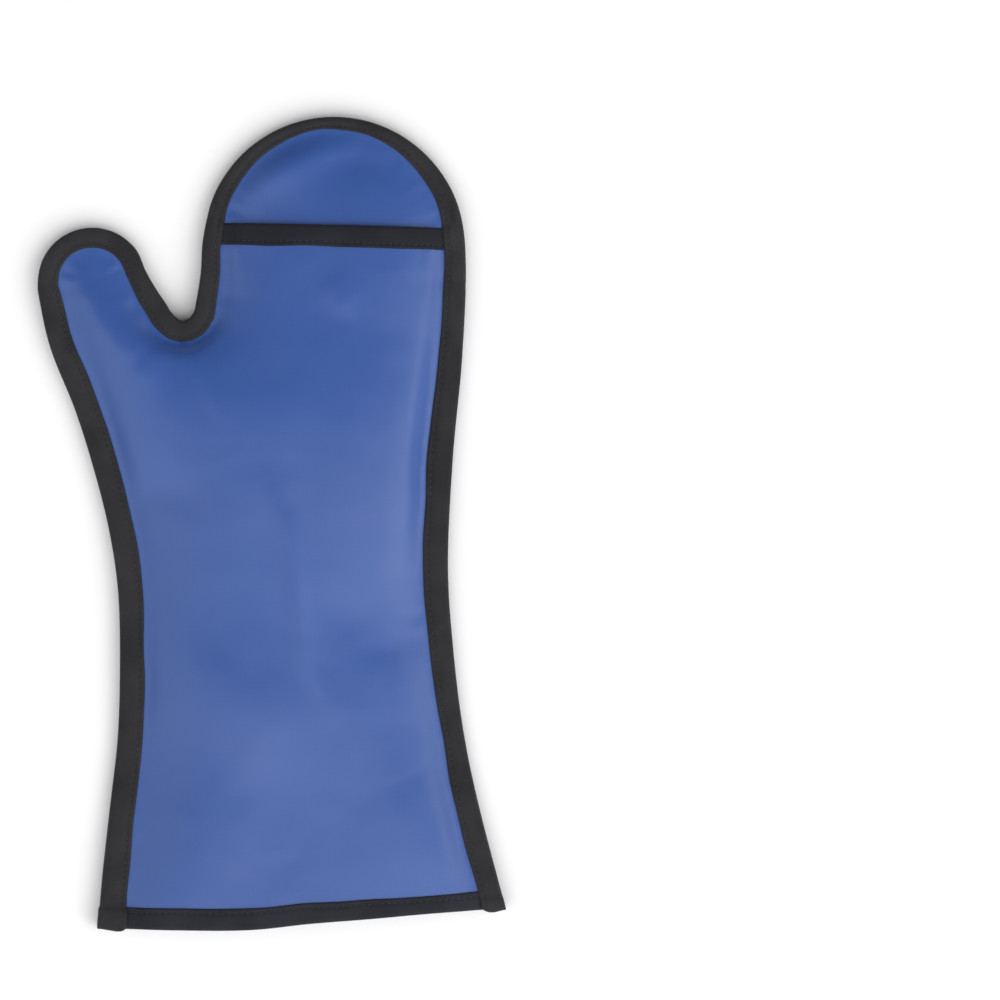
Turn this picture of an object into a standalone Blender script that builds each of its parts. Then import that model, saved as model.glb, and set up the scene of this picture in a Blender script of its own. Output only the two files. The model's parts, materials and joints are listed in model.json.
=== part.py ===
"""Lead lined glove: a left-hand mitt with a gauntlet, lying on its back, palm up.

Two panels of blue coated nylon over lead vinyl are laid together and joined round
the edge by a folded black tape. The palm panel stops at a slit across the fingers,
and a half-round hood closes the fingertips above it. The frame has +Y towards the
fingertips, -X on the thumb side and z = 0 on the surface that the glove lies on.
Lengths in the tables are millimetres, and the meshes are made in metres.
"""

import math
from collections import namedtuple

import bmesh
import bpy
import numpy as np
from mathutils import Vector
from mathutils.geometry import delaunay_2d_cdt

MM = 0.001

# Cloth and tape
PANEL_WALL = 1.6
TAPE_WALL = 1.0
GAP = 0.3
PANEL_INSET = 1.5        # from the tape's outer edge in to the cut edge of a panel
SLOT_END = 1.2           # how far in the tape's slot begins
NOSE_BACK = 2.4          # where the rounded nose of the tape turns flat
NOSE_CORNER = 0.6
NOSE_DROP = 0.8
CLAMP_MARGIN = 0.4       # from a tape's inner edge to the line where a panel may rise
END_MARGIN = 2.0         # how far a panel's corner stays back from the tape's cut end
TAPE_OUT = TAPE_WALL + GAP
SEAM_STACK = 2 * PANEL_WALL + GAP

# Heights
RIM_CLEAR = 0.5          # the tape's lowest place over the floor
CROWN = 13.0             # how far the palm side stands up in its middle
CROWN_SOFTNESS = 1.25
CROWN_SPREAD = 20.5      # how fast the palm side rises from its seams
FOLD_REACH = 0.4         # film height from which a fold has its full height
BACK_SPREAD = 9.0
BACK_FLAT = 0.75         # share of the back's own film height from which it is flat
CUFF_LIFT = 3.0          # room in the cuff seam for the two hem tapes' inner flaps
CUFF_LIFT_START = 6.0
CUFF_LIFT_END = 38.0

# Slit across the fingers
SLIT_TUCK = 15.0         # how far the hood's tongue runs on under the palm's edge
TONGUE_SIDE = 10.0       # from the clamped line to the tongue's side
TONGUE_TAPER = 3.0
RIDE_SEAM = 1.6          # lift of the palm over the slit tape's lower flap, in the seam
RIDE_TONGUE = 2.9        # more lift, where it rides over the tongue
RIDE_START = 70.0
RIDE_FULL = 100.0
RIDE_SIDE_START = -60.0  # the lift fades out past the crotch, towards the thumb
RIDE_SIDE_FULL = -50.0
RIDE_FADE_START = 1.0
RIDE_FADE_END = 18.0
PALM_LIMIT = -40.0       # left of this x lies the thumb, which has no slit
CUFF_LEFT = -120.0       # left of the whole glove

# Meshing
STATION_STEP = 8.5
SHORT_SPAN_CUTS = 2
HEM_STEP = 12.0
SLIT_STEP = 6.5
GRID_STEP = 12.0
GRID_CLEAR = 0.62
FILM_CELL = 4.0
FILM_PASSES = 700
FILM_MARGIN = 16.0
CUFF_RUN_ON = 70.0       # the free cuff is worked out as if the sleeve went on this far

# Colour and roughness
NYLON_FINISH = ((0.085, 0.165, 0.395), 0.45)
TAPE_FINISH = ((0.032, 0.032, 0.036), 0.75)
SMOOTH_ANGLE = 50.0

Knot = namedtuple("Knot", "name x y tape")
Arc = namedtuple("Arc", "name x y radius start end steps tape_start tape_end")
Station = namedtuple("Station", "point inward tape clamped")
Bump = namedtuple("Bump", "name x y radius height")
Fold = namedtuple("Fold", "name x0 y0 x1 y1 half_width height")
Wrap = namedtuple("Wrap", "name inset side rise")

# Outer edge of the tape, from the cuff's thumb side round to its other side
OUTLINE = (
    Knot("cuff corner, thumb side", -84.9, -199.5, 13.4),
    Knot("gauntlet, thumb side", -82.9, -174.0, 13.2),
    Knot("gauntlet middle", -79.0, -138.7, 12.6),
    Knot("above the gauntlet", -75.1, -103.3, 12.2),
    Knot("wrist, thumb side", -74.1, -65.0, 12.2),
    Knot("heel of the hand", -75.1, -32.6, 12.2),
    Knot("thumb root, low", -79.5, -3.2, 12.2),
    Knot("thumb root", -86.9, 26.3, 12.2),
    Knot("thumb, low", -96.2, 55.7, 12.2),
    Knot("thumb, middle", -108.0, 85.2, 12.0),
    Knot("thumb, high", -113.4, 108.7, 11.0),
    Arc("thumb tip", -87.6, 118.3, 26.8, 180, 12, 7, 10.2, 9.6),
    Knot("thumb, inner side", -56.0, 114.6, 10.6),
    Knot("crotch, thumb side", -52.0, 108.7, 10.4),
    Arc("crotch", -43.2, 104.8, 5.4, 200, 340, 2, 10.3, 10.3),
    Knot("crotch, finger side", -36.3, 110.7, 10.0),
    Knot("first finger", -34.4, 123.4, 9.6),
    Arc("hood, thumb half", 30.9, 135.2, 64.3, 175, 95, 4, 9.2, 6.0),
    Arc("hood, outer half", 30.9, 135.2, 64.3, 75, 15, 3, 6.8, 10.0),
    Knot("last finger", 95.7, 124.4, 10.6),
    Knot("edge of the palm", 93.7, 79.3, 11.6),
    Knot("heel, outer side", 89.3, 32.1, 12.4),
    Knot("wrist, outer side", 86.9, -20.9, 12.2),
    Knot("above the gauntlet, outer side", 89.8, -65.0, 11.4),
    Knot("gauntlet top, outer side", 94.7, -103.3, 10.6),
    Knot("gauntlet middle, outer side", 102.1, -138.7, 11.2),
    Knot("cuff corner, outer side", 114.8, -187.2, 11.0),
)

# Lower edge of the hem tape, from the outer corner to the thumb side
HEM = (
    Knot("outer corner", 104.0, -189.4, 8.8),
    Knot("outer quarter", 78.0, -190.9, 9.0),
    Knot("right of the middle", 50.0, -193.3, 9.6),
    Knot("middle", 20.0, -195.7, 10.2),
    Knot("left of the middle", -10.0, -198.8, 10.8),
    Knot("thumb-side quarter", -45.0, -199.1, 10.8),
    Knot("thumb-side corner", -72.0, -198.8, 10.8),
)

# Upper edge of the slit tape, from the thumb side to the outer side
SLIT = (
    Knot("thumb-side end", -24.0, 147.3, 10.6),
    Knot("middle", 31.0, 146.0, 10.8),
    Knot("outer end", 85.0, 144.8, 11.0),
)

# Places where the seam stands up a little from the floor
RIM = (
    Bump("fingertips", 31.0, 205.0, 75.0, 1.5),
    Bump("thumb tip", -104.0, 138.0, 50.0, 1.8),
    Bump("crotch", -42.0, 100.0, 24.0, 0.8),
    Bump("wrist, thumb side", -76.0, -45.0, 70.0, 1.0),
    Bump("wrist, outer side", 90.0, -15.0, 80.0, 1.3),
    Bump("cuff, outer corner", 112.0, -190.0, 50.0, 0.6),
)

# Dents and folds of the palm side, each along one line
FOLDS = (
    Fold("hollow under the slit", 5.0, 95.0, 12.0, 55.0, 34.0, -2.6),
    Fold("roll along the outer edge", 66.0, 118.0, 68.0, 15.0, 17.0, 2.4),
    Fold("thumb swell", -74.0, 52.0, -90.0, 116.0, 20.0, 6.0),
    Fold("groove at the thumb root", -58.0, 92.0, -30.0, 30.0, 13.0, -1.8),
    Fold("long crease, upper half", 0.0, 70.0, 19.0, -38.0, 9.0, -1.7),
    Fold("long crease, lower half", 19.0, -38.0, 30.0, -84.0, 8.0, -2.0),
    Fold("ridge beside the crease", 34.0, 0.0, 46.0, -90.0, 12.0, 1.6),
    Fold("dimple at the wrist", 56.0, -58.0, 62.0, -62.0, 10.0, -1.7),
    Fold("roll across the gauntlet", -38.0, -84.0, 6.0, -140.0, 20.0, 2.2),
    Fold("hollow of the gauntlet", -2.0, -178.0, 10.0, -150.0, 26.0, -2.0),
    Fold("swell of the cuff, outer side", 74.0, -120.0, 92.0, -175.0, 20.0, 1.8),
    Fold("crease over the fingertips", -12.0, 164.0, 44.0, 186.0, 9.0, -1.3),
)

# One turn round a folded tape: how far in from its outer edge (None is the flap's own
# inner edge), the panel face that the point follows, and its rise from that face
WRAP = (
    Wrap("upper flap, inner edge", None, "upper", TAPE_OUT),
    Wrap("upper flap, at the nose", NOSE_BACK, "upper", TAPE_OUT),
    Wrap("nose, upper corner", NOSE_CORNER, "upper", TAPE_OUT - NOSE_DROP),
    Wrap("nose", 0.0, "middle", 0.0),
    Wrap("nose, lower corner", NOSE_CORNER, "lower", NOSE_DROP - TAPE_OUT),
    Wrap("lower flap, at the nose", NOSE_BACK, "lower", -TAPE_OUT),
    Wrap("lower flap, inner edge", None, "lower", -TAPE_OUT),
    Wrap("lower flap, inner edge of the slot", None, "lower", -GAP),
    Wrap("slot, lower corner", SLOT_END, "lower", -GAP),
    Wrap("slot, upper corner", SLOT_END, "upper", GAP),
    Wrap("upper flap, inner edge of the slot", None, "upper", GAP),
)


def blank_scene():
    """Remove whatever the file opened with."""
    for thing in list(bpy.data.objects):
        bpy.data.objects.remove(thing, do_unlink=True)


def finish(name, colour, roughness):
    """A plain Principled material."""
    material = bpy.data.materials.new(name)
    material.use_nodes = True
    shader = material.node_tree.nodes["Principled BSDF"]
    shader.inputs["Base Color"].default_value = (*colour, 1.0)
    shader.inputs["Roughness"].default_value = roughness
    shader.inputs["Metallic"].default_value = 0.0
    return material


def ramp(value, start, end):
    """0 before start, 1 after end, and a smooth rise between them."""
    share = min(1.0, max(0.0, (value - start) / (end - start)))
    return share * share * (3.0 - 2.0 * share)


def knots_of(rows):
    """Points and tape widths of a table, with its arcs taken at even angles."""
    knots = []
    for row in rows:
        if isinstance(row, Knot):
            knots.append((Vector((row.x, row.y)), row.tape))
            continue
        for step in range(row.steps + 1):
            share = step / row.steps
            angle = math.radians(row.start + (row.end - row.start) * share)
            point = Vector((row.x + row.radius * math.cos(angle), row.y + row.radius * math.sin(angle)))
            knots.append((point, row.tape_start + (row.tape_end - row.tape_start) * share))
    return knots


def stations_of(rows, step):
    """Stations along a smooth curve through the rows, with the cloth on its right hand."""
    knots = knots_of(rows)
    points = [knot[0] for knot in knots]
    tapes = [knot[1] for knot in knots]
    points = [2 * points[0] - points[1]] + points + [2 * points[-1] - points[-2]]
    stations = []
    for index in range(len(tapes) - 1):
        before, start, end, after = points[index:index + 4]
        cuts = max(SHORT_SPAN_CUTS, round((end - start).length / step))
        last = index == len(tapes) - 2
        for cut in range(cuts + (1 if last else 0)):
            t = cut / cuts
            curve = (
                2 * start + (end - before) * t
                + (2 * before - 5 * start + 4 * end - after) * t ** 2
                + (3 * start - before - 3 * end + after) * t ** 3
            ) * 0.5
            along = (
                (end - before)
                + (2 * before - 5 * start + 4 * end - after) * (2 * t)
                + (3 * start - before - 3 * end + after) * (3 * t ** 2)
            ).normalized()
            tape = tapes[index] + (tapes[index + 1] - tapes[index]) * t
            stations.append(Station(curve, Vector((along.y, -along.x)), tape, True))
    return stations


def inset(station, distance):
    """The point that lies a distance in from a station's outer edge."""
    return station.point + station.inward * distance


def clamp_line(stations):
    """The line just inside a tape's inner edge, one point for each station."""
    return [inset(station, station.tape + CLAMP_MARGIN) for station in stations]


def crossings(line, y, x_min):
    """Where a line crosses a height y, right of x_min: the index before it, and the point."""
    found = []
    for index in range(len(line) - 1):
        start, end = line[index], line[index + 1]
        if (start.y - y) * (end.y - y) <= 0.0 and start.y != end.y:
            point = start.lerp(end, (y - start.y) / (end.y - start.y))
            if point.x > x_min:
                found.append((index, point))
    return found


def seat_ends(stations, first, last):
    """Give a cross tape its end stations, each from its outer point to its inner one."""
    seated = []
    for outer, inner, tape in (first, last):
        seated.append(Station(outer, (inner - outer) / (tape + CLAMP_MARGIN), tape, True))
    middle = [station._replace(clamped=False) for station in stations[1:-1]]
    return [seated[0]] + middle + [seated[1]]


def inside_loop(loop, x, y):
    """Even-odd test of grid points against a closed loop."""
    inside = np.zeros(x.shape, dtype=bool)
    for start, end in zip(loop, loop[1:] + loop[:1]):
        if start.y == end.y:
            continue
        spans = (start.y > y) != (end.y > y)
        cross = (end.x - start.x) * (y - start.y) / (end.y - start.y) + start.x
        inside ^= spans & (x < cross)
    return inside


class Film:
    """A film held at 0 along a loop and drawn up towards 1 inside it."""

    def __init__(self, loop, spread):
        self.x0 = min(point.x for point in loop) - FILM_MARGIN
        self.y0 = min(point.y for point in loop) - FILM_MARGIN
        x1 = max(point.x for point in loop) + FILM_MARGIN
        y1 = max(point.y for point in loop) + FILM_MARGIN
        x, y = np.meshgrid(np.arange(self.x0, x1, FILM_CELL), np.arange(self.y0, y1, FILM_CELL))
        inside = inside_loop(loop, x, y)
        pull = (FILM_CELL / spread) ** 2
        height = np.zeros(x.shape)
        for _ in range(FILM_PASSES):
            total = np.roll(height, 1, 0) + np.roll(height, -1, 0)
            total += np.roll(height, 1, 1) + np.roll(height, -1, 1)
            height = np.where(inside, (total + pull) / (4.0 + pull), 0.0)
        self.height = height

    def at(self, x, y):
        """The film's height at one point, from the four grid points round it."""
        column = (x - self.x0) / FILM_CELL
        row = (y - self.y0) / FILM_CELL
        i, j = int(row), int(column)
        v, u = row - i, column - j
        low = self.height[i, j] * (1 - u) + self.height[i, j + 1] * u
        high = self.height[i + 1, j] * (1 - u) + self.height[i + 1, j + 1] * u
        return float(low * (1 - v) + high * v)


def rim_height(x, y):
    """Underside of the back panel where the tape clamps it."""
    height = TAPE_OUT + RIM_CLEAR
    for bump in RIM:
        far = ((x - bump.x) ** 2 + (y - bump.y) ** 2) / bump.radius ** 2
        height += bump.height * math.exp(-far)
    return height


def folds_at(x, y):
    """Sum of the dents and folds at one point."""
    height = 0.0
    for fold in FOLDS:
        dx, dy = fold.x1 - fold.x0, fold.y1 - fold.y0
        share = ((x - fold.x0) * dx + (y - fold.y0) * dy) / (dx * dx + dy * dy)
        share = min(1.0, max(0.0, share))
        far = math.hypot(x - fold.x0 - dx * share, y - fold.y0 - dy * share)
        height += fold.height * math.exp(-(far / fold.half_width) ** 2)
    return height


def hem_lift(x, y):
    """Room between the panels at the cuff for the hem tapes' inner flaps."""
    hem_y = HEM[0].y + (HEM[-1].y - HEM[0].y) * (HEM[0].x - x) / (HEM[0].x - HEM[-1].x)
    return CUFF_LIFT * (1.0 - ramp(y - hem_y, CUFF_LIFT_START, CUFF_LIFT_END))


def slit_y(x):
    """The slit tape's upper edge at one x."""
    share = (x - SLIT[0].x) / (SLIT[-1].x - SLIT[0].x)
    return SLIT[0].y + (SLIT[-1].y - SLIT[0].y) * share


def seam_lift(x, y):
    """How far the palm panel rides up in the seam next to the slit."""
    side = ramp(x, RIDE_SIDE_START, RIDE_SIDE_FULL)
    return RIDE_SEAM * ramp(y, RIDE_START, RIDE_FULL) * side


def seam_top(x, y):
    """Top of the upper sheet inside the edge tape."""
    faded = 1.0 - ramp(y - slit_y(x), RIDE_FADE_START, RIDE_FADE_END)
    return rim_height(x, y) + SEAM_STACK + hem_lift(x, y) + seam_lift(x, y) * faded


class Glove:
    """The shared curves and surfaces that every piece is cut from."""

    def __init__(self):
        self.edge = stations_of(OUTLINE, STATION_STEP)
        self.clamp = clamp_line(self.edge)
        self.hem = self.seat_hem(stations_of(HEM, HEM_STEP))
        self.slit = self.seat_slit(stations_of(SLIT, SLIT_STEP))
        tail = Vector((0.0, -CUFF_RUN_ON))
        run_on = [self.clamp[-1] + tail, self.clamp[0] + tail]
        self.palm_film = Film(self.clamp + run_on, CROWN_SPREAD)
        self.back_film = Film(self.closed_clamp(), BACK_SPREAD)

    def seat_hem(self, stations):
        """The hem's ends lie along the inner edges of the side seams, at their cut ends."""
        ends = []
        for knot, last, before in ((HEM[0], -1, -2), (HEM[-1], 0, 1)):
            reach = knot.tape + CLAMP_MARGIN
            inner = crossings(self.clamp, knot.y + reach, CUFF_LEFT)[last][1]
            along = (self.clamp[last] - self.clamp[before]).normalized()
            ends.append((inner + along * (reach / abs(along.y)), inner, knot.tape))
        return seat_ends(stations, ends[0], ends[1])

    def seat_slit(self, stations):
        """The slit's ends lie along the inner edges of the side seams."""
        ends = []
        for knot, which in ((SLIT[0], 0), (SLIT[-1], -1)):
            reach = knot.tape + CLAMP_MARGIN
            outer = crossings(self.clamp, knot.y, PALM_LIMIT)[which][1]
            inner = crossings(self.clamp, knot.y - reach, PALM_LIMIT)[which][1]
            ends.append((outer, inner, knot.tape))
        return seat_ends(stations, ends[0], ends[1])

    def closed_clamp(self):
        """The clamped line of the back panel, closed above its hem tape."""
        hem_line = clamp_line(self.hem)
        keep = [point for point in self.clamp if point.y > hem_line[-1].y and point.y > hem_line[0].y]
        return keep + hem_line

    def palm_top(self, x, y, clamped):
        """Top of the palm panel."""
        if clamped:
            return rim_height(x, y) + SEAM_STACK + hem_lift(x, y) + seam_lift(x, y)
        film = self.palm_film.at(x, y)
        left, right = self.slit[0].point.x, self.slit[-1].point.x
        across = ramp(x, left, left + TONGUE_SIDE) * ramp(-x, -right, -right + TONGUE_SIDE)
        ride = RIDE_TONGUE * ramp(y, RIDE_START, RIDE_FULL) * across
        return self.palm_top(x, y, True) + self.swell(x, y, film) + ride

    def swell(self, x, y, film):
        """Crown and folds of the palm side over its seams."""
        return CROWN * film ** CROWN_SOFTNESS + folds_at(x, y) * ramp(film, 0.0, FOLD_REACH)

    def hood_top(self, x, y, clamped):
        """Top of the fingertip hood."""
        seam = rim_height(x, y) + SEAM_STACK
        if clamped:
            return seam
        return seam + self.swell(x, y, self.palm_film.at(x, y))

    def back_top(self, x, y, clamped):
        """Top of the back panel, which lies flat on the floor away from its seams."""
        if clamped:
            return rim_height(x, y) + PANEL_WALL
        film = self.back_film.at(x, y)
        return rim_height(x, y) * (1.0 - ramp(film, 0.0, BACK_FLAT)) + PANEL_WALL


class Pattern:
    """The flat cut of one panel: points, the lines between them, and which are clamped."""

    def __init__(self):
        self.points = []
        self.clamped = []
        self.lines = []
        self.index = {}
        self.border = []

    def add(self, point, clamped):
        """Index of a point, which is added once."""
        key = (round(point.x, 3), round(point.y, 3))
        if key not in self.index:
            self.index[key] = len(self.points)
            self.points.append(Vector((point.x, point.y)))
            self.clamped.append(clamped)
        return self.index[key]

    def line(self, points, clamped):
        """Add points and join them in their order."""
        ids = [self.add(point, clamped) for point in points]
        self.lines += [pair for pair in zip(ids, ids[1:]) if pair[0] != pair[1]]

    def close_border(self, stretches):
        """The panel's cut edge, from stretches of (points, clamped) in order."""
        for points, clamped in stretches:
            for point in points:
                self.add(point, clamped)
        self.border = [point for points, _ in stretches for point in points]
        self.line(self.border + self.border[:1], False)

    def fill(self):
        """Add a staggered grid between the lines."""
        drawn = np.array([(point.x, point.y) for point in self.points])
        low, high = drawn.min(axis=0), drawn.max(axis=0)
        row_step = GRID_STEP * math.sqrt(3.0) / 2.0
        for row, y in enumerate(np.arange(low[1], high[1], row_step)):
            shift = GRID_STEP / 2.0 * (row % 2)
            xs = np.arange(low[0] + shift, high[0], GRID_STEP)
            inside = inside_loop(self.border, xs, np.full(xs.shape, y))
            for x in xs[inside]:
                if np.hypot(drawn[:, 0] - x, drawn[:, 1] - y).min() > GRID_STEP * GRID_CLEAR:
                    self.add(Vector((x, y)), False)


def solid(name, pattern, top, material):
    """A panel of even wall from a flat pattern and the height of its top."""
    flat = delaunay_2d_cdt(pattern.points, pattern.lines, [], 1, 1e-5)
    points, faces, sources = flat[0], flat[2], flat[3]
    mesh = bmesh.new()
    upper, lower = [], []
    for point, source in zip(points, sources):
        clamped = bool(source) and all(pattern.clamped[index] for index in source)
        z = top(point.x, point.y, clamped)
        upper.append(mesh.verts.new((point.x * MM, point.y * MM, z * MM)))
        lower.append(mesh.verts.new((point.x * MM, point.y * MM, (z - PANEL_WALL) * MM)))
    sides = {}
    for face in faces:
        mesh.faces.new([upper[index] for index in face])
        mesh.faces.new([lower[index] for index in reversed(face)])
        for start, end in zip(face, list(face[1:]) + [face[0]]):
            sides[(start, end)] = True
    for start, end in sides:
        if (end, start) not in sides:
            mesh.faces.new((lower[start], lower[end], upper[end], upper[start]))
    return make_object(name, mesh, material)


def binding(name, stations, upper, lower, material):
    """A tape folded over an edge: one turn of points at each station, joined along it."""
    mesh = bmesh.new()
    rings = []
    for station in stations:
        cut = inset(station, PANEL_INSET)
        line = inset(station, station.tape + CLAMP_MARGIN)
        span = station.tape + CLAMP_MARGIN - PANEL_INSET
        ring = []
        for wrap in WRAP:
            distance = station.tape if wrap.inset is None else wrap.inset
            place = inset(station, distance)
            share = (distance - PANEL_INSET) / span
            heights = []
            for height in (upper, lower):
                start = height(cut.x, cut.y, station.clamped)
                end = height(line.x, line.y, station.clamped)
                heights.append(start + (end - start) * share)
            base = {"upper": heights[0], "lower": heights[1], "middle": sum(heights) / 2.0}[wrap.side]
            ring.append(mesh.verts.new((place.x * MM, place.y * MM, (base + wrap.rise) * MM)))
        rings.append(ring)
    for ring, following in zip(rings, rings[1:]):
        for index in range(len(ring)):
            after = (index + 1) % len(ring)
            mesh.faces.new((ring[index], ring[after], following[after], following[index]))
    mesh.faces.new(list(reversed(rings[0])))
    mesh.faces.new(rings[-1])
    return make_object(name, mesh, material)


def make_object(name, mesh, material):
    """Close a bmesh into an object with outward faces and smooth shading."""
    bmesh.ops.recalc_face_normals(mesh, faces=mesh.faces)
    data = bpy.data.meshes.new(name)
    mesh.to_mesh(data)
    mesh.free()
    data.shade_smooth()
    data.set_sharp_from_angle(angle=math.radians(SMOOTH_ANGLE))
    data.materials.append(material)
    made = bpy.data.objects.new(name, data)
    bpy.context.scene.collection.objects.link(made)
    return made


def corner_points(glove):
    """The panels' cuff corners, kept back from the cut ends of the edge tape."""
    corners = []
    for end, before in ((glove.edge[0], glove.edge[1]), (glove.edge[-1], glove.edge[-2])):
        along = (before.point - end.point).normalized()
        corners.append(inset(end, PANEL_INSET) + along * END_MARGIN)
    return corners


def cut_line(stations):
    """The cut edge of a panel inside its tape, one point for each station."""
    return [inset(station, PANEL_INSET) for station in stations]


def back_panel(glove, material):
    """The whole back of the mitt."""
    pattern = Pattern()
    thumb_corner, outer_corner = corner_points(glove)
    seam = cut_line(glove.edge)[1:-1]
    pattern.close_border([
        ([thumb_corner] + seam + [outer_corner], True),
        (cut_line(glove.hem), True),
    ])
    loop = glove.closed_clamp()
    pattern.line(loop + loop[:1], True)
    pattern.fill()
    return solid("back_panel", pattern, glove.back_top, material)


def palm_panel(glove, material):
    """Palm, thumb front and gauntlet front, from the hem up to the slit."""
    pattern = Pattern()
    thumb_corner, outer_corner = corner_points(glove)
    seam = cut_line(glove.edge)
    slit, hem = cut_line(glove.slit), cut_line(glove.hem)
    slit_line, hem_line = clamp_line(glove.slit), clamp_line(glove.hem)
    thumb_index, thumb_end = crossings(seam, slit[0].y, PALM_LIMIT)[0]
    outer_index, outer_end = crossings(seam, slit[-1].y, PALM_LIMIT)[-1]
    pattern.close_border([
        ([thumb_corner] + seam[1:thumb_index + 1] + [thumb_end, slit[0]], True),
        (slit[1:-1], False),
        ([slit[-1], outer_end] + seam[outer_index + 1:-1] + [outer_corner, hem[0]], True),
        (hem[1:-1], False),
        ([hem[-1]], True),
    ])
    index = crossings(glove.clamp, slit_line[0].y, PALM_LIMIT)[0][0]
    thumb_side = [point for point in glove.clamp[:index + 1] if point.y > hem_line[-1].y]
    index = crossings(glove.clamp, slit_line[-1].y, PALM_LIMIT)[-1][0]
    outer_side = [point for point in glove.clamp[index + 1:] if point.y > hem_line[0].y]
    pattern.line([hem[-1], hem_line[-1]] + thumb_side + [slit_line[0], slit[0]], True)
    pattern.line([slit[-1], slit_line[-1]] + outer_side + [hem_line[0], hem[0]], True)
    pattern.line(hem_line, False)
    pattern.line(slit_line, False)
    pattern.fill()
    return solid("palm_panel", pattern, glove.palm_top, material)


def fingertip_hood(glove, material):
    """Half-round hood, with a tongue that runs on under the slit tape."""
    pattern = Pattern()
    thumb_x, outer_x = glove.slit[0].point.x, glove.slit[-1].point.x
    thumb_base = Vector((thumb_x, slit_y(thumb_x) + GAP))
    outer_base = Vector((outer_x, slit_y(outer_x) + GAP))
    seam = cut_line(glove.edge)
    thumb_index, thumb_end = crossings(seam, thumb_base.y, PALM_LIMIT)[0]
    outer_index, outer_end = crossings(seam, outer_base.y, PALM_LIMIT)[-1]
    thumb_x += TONGUE_SIDE
    outer_x -= TONGUE_SIDE
    tongue = [
        Vector((outer_x, slit_y(outer_x) + GAP)),
        Vector((outer_x - TONGUE_TAPER, slit_y(outer_x) - SLIT_TUCK)),
        Vector((thumb_x + TONGUE_TAPER, slit_y(thumb_x) - SLIT_TUCK)),
        Vector((thumb_x, slit_y(thumb_x) + GAP)),
    ]
    pattern.close_border([
        ([thumb_end] + seam[thumb_index + 1:outer_index + 1] + [outer_end, outer_base], True),
        (tongue, False),
        ([thumb_base], True),
    ])
    first = crossings(glove.clamp, thumb_base.y, PALM_LIMIT)[0][0] + 1
    last = crossings(glove.clamp, outer_base.y, PALM_LIMIT)[-1][0] + 1
    pattern.line([thumb_base] + glove.clamp[first:last] + [outer_base], True)
    pattern.fill()
    return solid("fingertip_hood", pattern, glove.hood_top, material)


def edge_binding(glove, material):
    """The tape round the glove, from cuff corner to cuff corner."""
    def upper(x, y, _):
        return seam_top(x, y)

    def lower(x, y, _):
        return rim_height(x, y)

    return binding("edge_binding", glove.edge, upper, lower, material)


def cross_binding(name, stations, top, material):
    """A tape over the edge of one panel."""
    def lower(x, y, clamped):
        return top(x, y, clamped) - PANEL_WALL

    return binding(name, stations, top, lower, material)


def back_cuff_binding(glove, material):
    """The tape over the back panel's hem, which lies flat."""
    def upper(x, y, _):
        return glove.back_top(x, y, True)

    return cross_binding("back_cuff_binding", glove.hem, upper, material)


def main():
    """Build every piece of the glove."""
    blank_scene()
    glove = Glove()
    back_panel(glove, finish("back_nylon", *NYLON_FINISH))
    palm_panel(glove, finish("palm_nylon", *NYLON_FINISH))
    fingertip_hood(glove, finish("hood_nylon", *NYLON_FINISH))
    edge_binding(glove, finish("edge_tape", *TAPE_FINISH))
    cross_binding("slit_binding", glove.slit, glove.palm_top, finish("slit_tape", *TAPE_FINISH))
    cross_binding("palm_cuff_binding", glove.hem, glove.palm_top, finish("palm_cuff_tape", *TAPE_FINISH))
    back_cuff_binding(glove, finish("back_cuff_tape", *TAPE_FINISH))


main()
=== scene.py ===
# %% [markdown]
# A lead lined glove, dressed for its picture.
# The solid model of this mitt gives the sizes and the way it lies: palm up, on its back.
# This lesson makes the cloth that shows: blue coated nylon over lead vinyl, black tape
# folded over every edge, and the rows of stitches that hold the tape.
# Every solid is replaced by a finer piece in the same place.

# %% Load the solid model
import bpy
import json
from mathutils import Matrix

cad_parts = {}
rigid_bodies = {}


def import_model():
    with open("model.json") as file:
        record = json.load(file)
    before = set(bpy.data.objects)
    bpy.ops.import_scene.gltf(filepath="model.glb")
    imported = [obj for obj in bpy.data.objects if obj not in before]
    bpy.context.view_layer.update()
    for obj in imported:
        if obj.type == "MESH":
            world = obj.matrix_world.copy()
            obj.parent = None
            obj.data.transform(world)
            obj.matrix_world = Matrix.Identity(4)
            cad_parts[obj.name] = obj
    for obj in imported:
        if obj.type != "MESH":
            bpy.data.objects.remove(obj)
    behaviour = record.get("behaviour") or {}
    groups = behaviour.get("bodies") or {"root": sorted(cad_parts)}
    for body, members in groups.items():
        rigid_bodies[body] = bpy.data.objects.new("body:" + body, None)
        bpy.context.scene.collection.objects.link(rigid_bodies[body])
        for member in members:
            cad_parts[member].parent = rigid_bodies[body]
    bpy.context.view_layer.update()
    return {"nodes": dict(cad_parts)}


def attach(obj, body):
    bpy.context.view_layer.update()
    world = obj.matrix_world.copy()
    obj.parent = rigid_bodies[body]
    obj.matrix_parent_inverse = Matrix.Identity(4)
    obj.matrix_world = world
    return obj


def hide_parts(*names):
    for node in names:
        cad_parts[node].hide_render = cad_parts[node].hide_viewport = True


for thing in list(bpy.data.objects):
    bpy.data.objects.remove(thing)
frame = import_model()

import json
import math
from collections import namedtuple

import bmesh
import numpy as np
from mathutils import Vector, noise
from mathutils.bvhtree import BVHTree
from mathutils.geometry import delaunay_2d_cdt
from mathutils.kdtree import KDTree

print("nodes", sorted(frame["nodes"]))

# %% [markdown]
# The camera looks straight down, as over a copy stand.
# A long lens from over two metres away keeps the outline free of perspective, so a point of
# the glove is where a ruler laid on it would say. The other way is an orthographic
# camera, but then the raised palm would show no depth at all.

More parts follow.
